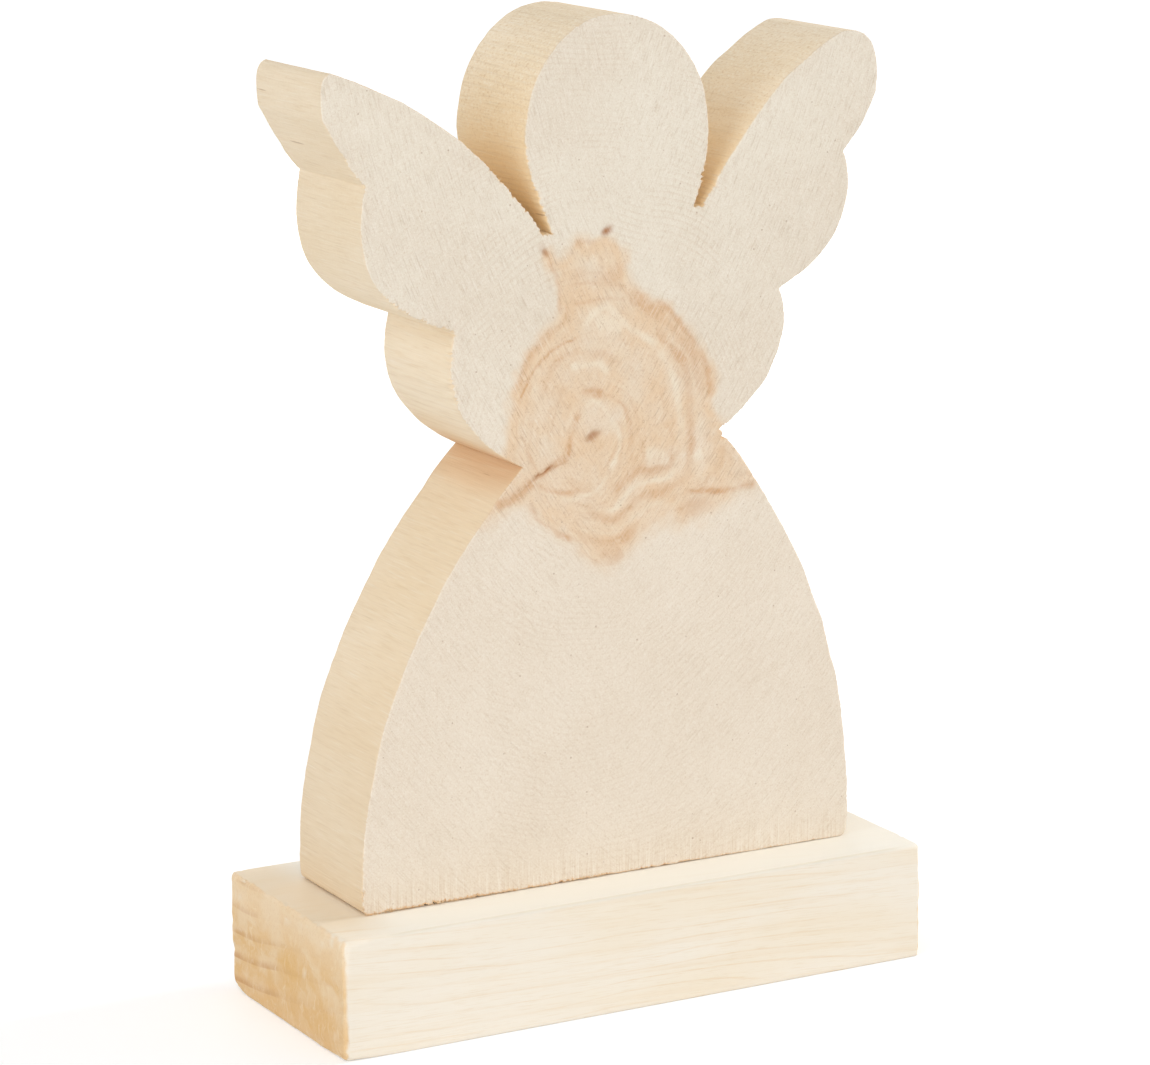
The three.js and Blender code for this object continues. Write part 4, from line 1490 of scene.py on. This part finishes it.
def sawn_end(wood, late, bent, tear, grit):
    """The lath's ends: orange, darker low down, with bowed bands, pale torn fibres and a spot of resin."""
    bloom = wood.noise((40, 9, 5), place=bent, detail=3, roughness=0.6)
    cut = mixed(bloom.ramp(0.35, 0.65), (237, 209, 169), (231, 193, 138))
    cut = cut.tinted(work("DISTANCE", wood.place, RESIN_PLACE).ramp(7, 2, 0, 0.6), (230, 186, 118))
    cut = cut.tinted(wood.z.ramp(12, 23, 0, 0.55), (248, 226, 194))
    cut = cut.tinted(wood.z.ramp(11, 3, 0, 0.4), (230, 188, 130))
    banded = late * wood.y.ramp(-8, 18, 0.1, 0.75) * wood.z.ramp(22, 9, 0.25, 1)
    cut = cut.tinted(banded, (204, 152, 100))
    cut = cut.tinted(tear.ramp(0.52, 0.74, 0, 0.55) * wood.x.ramp(0, 60, 1, 0.4), (246, 226, 194))
    return cut.tinted(grit.ramp(0.5, 0.8, 0, 0.3), (205, 160, 106))


print("resin sits at", RESIN_PLACE, "mm on the left end")

# %% [markdown]
# The lath's rings come first, with a slope and a sway, because the long faces and the ends are both
# drawn from them. The end grain's tone then chooses between the two.
# %% Recipe for the planed lath
LATH_PITH = (26, 183)
LATH_RING_WIDTH = 5.3
LATH_RING_EDGE = 173.2
GRAIN_SLOPE = 0.045


def lath_wood():
    wood = Recipe("lath_wood")
    end = wood.tone("end_grain")
    sloped = joined(0, 0, wood.x * GRAIN_SLOPE)
    tilted = wood.place + (wood.sway((90, 26, 26), (0, 4, 4), detail=0.5) + sloped)
    radius = work("LENGTH", (tilted - (0, *LATH_PITH)) * (0, 1, 1))
    years = (radius - LATH_RING_EDGE) / LATH_RING_WIDTH
    year = work("FRACT", years)
    patchy = wood.noise((45, 9, 9))
    late = year.ramp(0.6, 0.93) * year.ramp(1.0, 0.94) * patchy.ramp(0.3, 0.62, 0.15, 1)
    fibre = wood.noise((6, 0.22, 0.22), place=tilted, detail=3, roughness=0.62)
    strand = wood.noise((60, 1.6, 1.6), place=tilted, roughness=0.55)
    bent = wood.place + wood.sway((6, 6, 6), (0, 7, 7), detail=2)
    tear = wood.noise((9, 0.7, 3), place=bent, detail=3, roughness=0.65)
    grit = wood.noise((9, 0.35, 0.5), roughness=0.65)

    long_face = planed_face(wood, years, late, fibre, strand, patchy)
    colour = mixed(end, long_face, sawn_end(wood, late, bent, tear, grit))
    wood.shader.inputs["Specular IOR Level"].default_value = 0.3
    height = fibre * 0.6 + late * 0.25 + (tear + grit) * end
    return wood.finish(colour, strand.ramp(0.3, 0.7, 0.62, 0.78), height, BUMP_DEPTH, BUMP_STRENGTH)


cover(block, lath_wood())
print("lath wood has", len(block.data.materials[0].node_tree.nodes), "nodes")

# %% [markdown]
# ## The screws
# Each screw is turned like its hole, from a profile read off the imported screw. Its thread is a ridge
# that winds up the core: at every height and angle the radius swells by how near that place is to the
# winding line. The cross recess in the head is cut with two crossed slots that narrow inwards.
# %% Turn and thread the screws
CORE_RADIUS = 1.4 * MM
THREAD_PITCH = 1.8 * MM
RIDGE_SHARE = 0.3
TIP_FADE = 0.2 * MM
HEAD_CHAMFER = 0.1 * MM
CUTTER_START = -0.1 * MM
THREAD_STEP = 0.15 * MM
POINT_LENGTH = 5 * MM
RECESS_ARM = 2.2 * MM
RECESS_SLOT = 0.55 * MM
RECESS_DEPTH = 2 * MM
SCREW_SHARP_ANGLE = 35


def screw_profile(head, length):
    cone_end = HEAD_RIM + head - SHANK_RADIUS
    shank_end = cone_end + SHANK_LENGTH
    core_start = shank_end + SHANK_RADIUS - CORE_RADIUS
    core = np.arange(core_start, length - POINT_LENGTH, THREAD_STEP)
    point = np.arange(length - POINT_LENGTH, length - THREAD_STEP, THREAD_STEP)
    profile = [(0, 0), (head - HEAD_CHAMFER, 0), (head, HEAD_CHAMFER), (head, HEAD_RIM)]
    profile += [(SHANK_RADIUS, cone_end), (SHANK_RADIUS, shank_end)]
    profile += [(CORE_RADIUS, h) for h in core]
    profile += [(CORE_RADIUS * math.sqrt((length - h) / POINT_LENGTH), h) for h in point]
    return [*profile, (0, length)], core_start


def winding_ridge(start, length):
    def swell(height, turn):
        wound = (height / THREAD_PITCH - turn / (2 * math.pi)) % 1
        ridge = max(0, 1 - abs(wound - 0.5) / RIDGE_SHARE)
        fade = ease(height, start, start + THREAD_PITCH)
        fade *= ease(length - height, TIP_FADE, POINT_LENGTH)
        return (THREAD_RADIUS - CORE_RADIUS) * ridge * float(fade)
    return swell


def cross_cutter(place):
    """Two crossed slots, wide at the head's face and nearly closed at the bottom of the recess."""
    rings = []
    mouth = (RECESS_ARM, RECESS_SLOT, CUTTER_START)
    bottom = (1.2 * RECESS_SLOT, 0.8 * RECESS_SLOT, RECESS_DEPTH)
    for arm, slot, height in (mouth, bottom):
        quarter = [(arm, -slot), (arm, slot), (slot, slot)]
        ring = [(x, y, height) for x, y in quarter]
        for _ in range(3):
            quarter = [(-y, x) for x, y in quarter]
            ring += [(x, y, height) for x, y in quarter]
        rings.append(ring)
    count = len(rings[0])
    sides = [(k, (k + 1) % count, count + (k + 1) % count, count + k) for k in range(count)]
    caps = [tuple(range(count))[::-1], tuple(range(count, 2 * count))]
    return mesh_piece("cutter", np.array(rings[0] + rings[1]) + np.array(place), sides + caps)


screws = []
for node in SCREW_NODES:
    low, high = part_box(node)
    foot = screw_foot(low, high)
    profile, thread_start = screw_profile((high.x - low.x) / 2, high.z - low.z)
    screw = turned_piece("threaded_" + node, profile, foot, winding_ridge(thread_start, high.z - low.z))
    cut_away(screw, cross_cutter(foot))
    smooth_shading(screw, SCREW_SHARP_ANGLE)
    screws.append(screw)
print("screws:", [len(screw.data.vertices) for screw in screws], "vertices")

# %% [markdown]
# Zinc plate is bright, but not a mirror: its crystals make the tint and the roughness change a little
# from place to place, and the thread rolling leaves faint lines.
# %% Recipe for zinc plate
SCUFF_DEPTH = 0.03 * MM
SCUFF_STRENGTH = 0.5


def zinc_plate():
    zinc = Recipe("zinc_plate")
    bloom = zinc.noise((1.6, 1.6, 1.6), detail=3)
    scuff = zinc.noise((0.25, 0.25, 2.5))
    tint = mixed(bloom.ramp(0.35, 0.65), (212, 214, 217), (188, 190, 196))
    zinc.shader.inputs["Metallic"].default_value = 1.0
    return zinc.finish(tint, scuff.ramp(0.3, 0.7, 0.24, 0.42), scuff, SCUFF_DEPTH, SCUFF_STRENGTH)


plate = zinc_plate()
for screw in screws:
    cover(screw, plate)
print("plated", len(screws), "screws")

# %% [markdown]
# ## Seat the pieces
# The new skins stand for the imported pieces, which stay hidden for the motion model. Nothing on this
# object moves, so every piece rides on its one body.
# %% Ride on the one body
seats = [(angel, "angel_figure", "slice_wood"), (fibres, "angel_figure", "slice_wood")]
seats += [(block, "base_block", "lath_wood")]
seats += [(screw, node, "screw_steel") for screw, node in zip(screws, SCREW_NODES)]
for piece, node, slot in seats:
    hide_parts(node)
    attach(piece, "root")

# %% [markdown]
# ## Floor and light
# The picture was taken in a bright white tent: light from all round, a little more from the right,
# and a white ground with hardly any shadow. More light would bleach the wood, so the floor is a white
# sheet that glows a little where the camera or a reflection looks at it, and that still takes the
# figurine's shadow.
# %% White floor
FLOOR_SIZE = 12
FLOOR_GAP = 0.02 * MM
SHEET_COLOUR = (0.86, 0.86, 0.86, 1)
WHITE = (1, 1, 1, 1)
NEAR_GLOW = 0.28
FAR_GLOW = 0.62
GLOW_REACH = (0.25, 1.6)

corners = np.array([(-1, -1, 0), (1, -1, 0), (1, 1, 0), (-1, 1, 0)])
floor = mesh_piece("floor", corners * FLOOR_SIZE / 2 - (0, 0, FLOOR_GAP), [(0, 1, 2, 3)])


def when_seen(tree):
    """1 where the camera or a reflection looks at a surface, 0 where only light falls on it."""
    path = wired(tree, "ShaderNodeLightPath")
    return work("MAXIMUM", Tone(path, "Is Camera Ray"), Tone(path, "Is Glossy Ray"))


def white_sheet():
    sheet = bpy.data.materials.new("white_sheet")
    sheet.use_nodes = True
    tree = sheet.node_tree
    tree.nodes.clear()
    away = work("LENGTH", Tone(wired(tree, "ShaderNodeTexCoord"), "Object"))
    fade = Tone(wired(tree, "ShaderNodeMapRange", away, *GLOW_REACH, NEAR_GLOW, FAR_GLOW), "Result")
    cloth = Tone(wired(tree, "ShaderNodeBsdfDiffuse", SHEET_COLOUR))
    glow = Tone(wired(tree, "ShaderNodeEmission", WHITE, when_seen(tree) * fade))
    both = Tone(wired(tree, "ShaderNodeAddShader", cloth, glow))
    wired(tree, "ShaderNodeOutputMaterial", both)
    return sheet


cover(floor, white_sheet())
print("floor of", FLOOR_SIZE, "m")

# %% [markdown]
# The world gives the tent's even light and is white where it is seen. A small key lamp at the right
# gives the direction, and four broad lamps fill in the left, the front, the back and the top, so that
# no side sinks into grey.
# %% Tent light and lamps
TENT_LEVEL = 0.54
LAMPS = [
    # name, place in metres, size in metres, watts
    ("key", (1.0, -0.07, 0.52), 0.12, 4.4),
    ("left fill", (-0.9, -0.25, 0.48), 0.7, 2.85),
    ("front fill", (-0.2, -1.2, 0.35), 0.8, 3.9),
    ("back fill", (0.2, 1.2, 0.3), 0.8, 4.0),
    ("top fill", (-0.3, -0.4, 1.3), 0.8, 1.0),
]

world = bpy.data.worlds.new("tent")
bpy.context.scene.world = world
world.use_nodes = True
tree = world.node_tree
tree.nodes.clear()
tent = Tone(wired(tree, "ShaderNodeBackground", WHITE, TENT_LEVEL))
white = Tone(wired(tree, "ShaderNodeBackground", WHITE, 1))
shown = Tone(wired(tree, "ShaderNodeMixShader", when_seen(tree), tent, white))
wired(tree, "ShaderNodeOutputWorld", shown)


def lamp(name, place, size, power):
    light = bpy.data.lights.new(name, "AREA")
    light.size = size
    light.energy = power
    made = bpy.data.objects.new(name, light)
    made.location = place
    made.rotation_euler = (AIM - place).to_track_quat("-Z", "Y").to_euler()
    bpy.context.scene.collection.objects.link(made)


for name, place, size, power in LAMPS:
    lamp(name, Vector(place), size, power)
bpy.context.scene.view_settings.view_transform = "Standard"
print("tent", TENT_LEVEL, "and", len(LAMPS), "lamps")
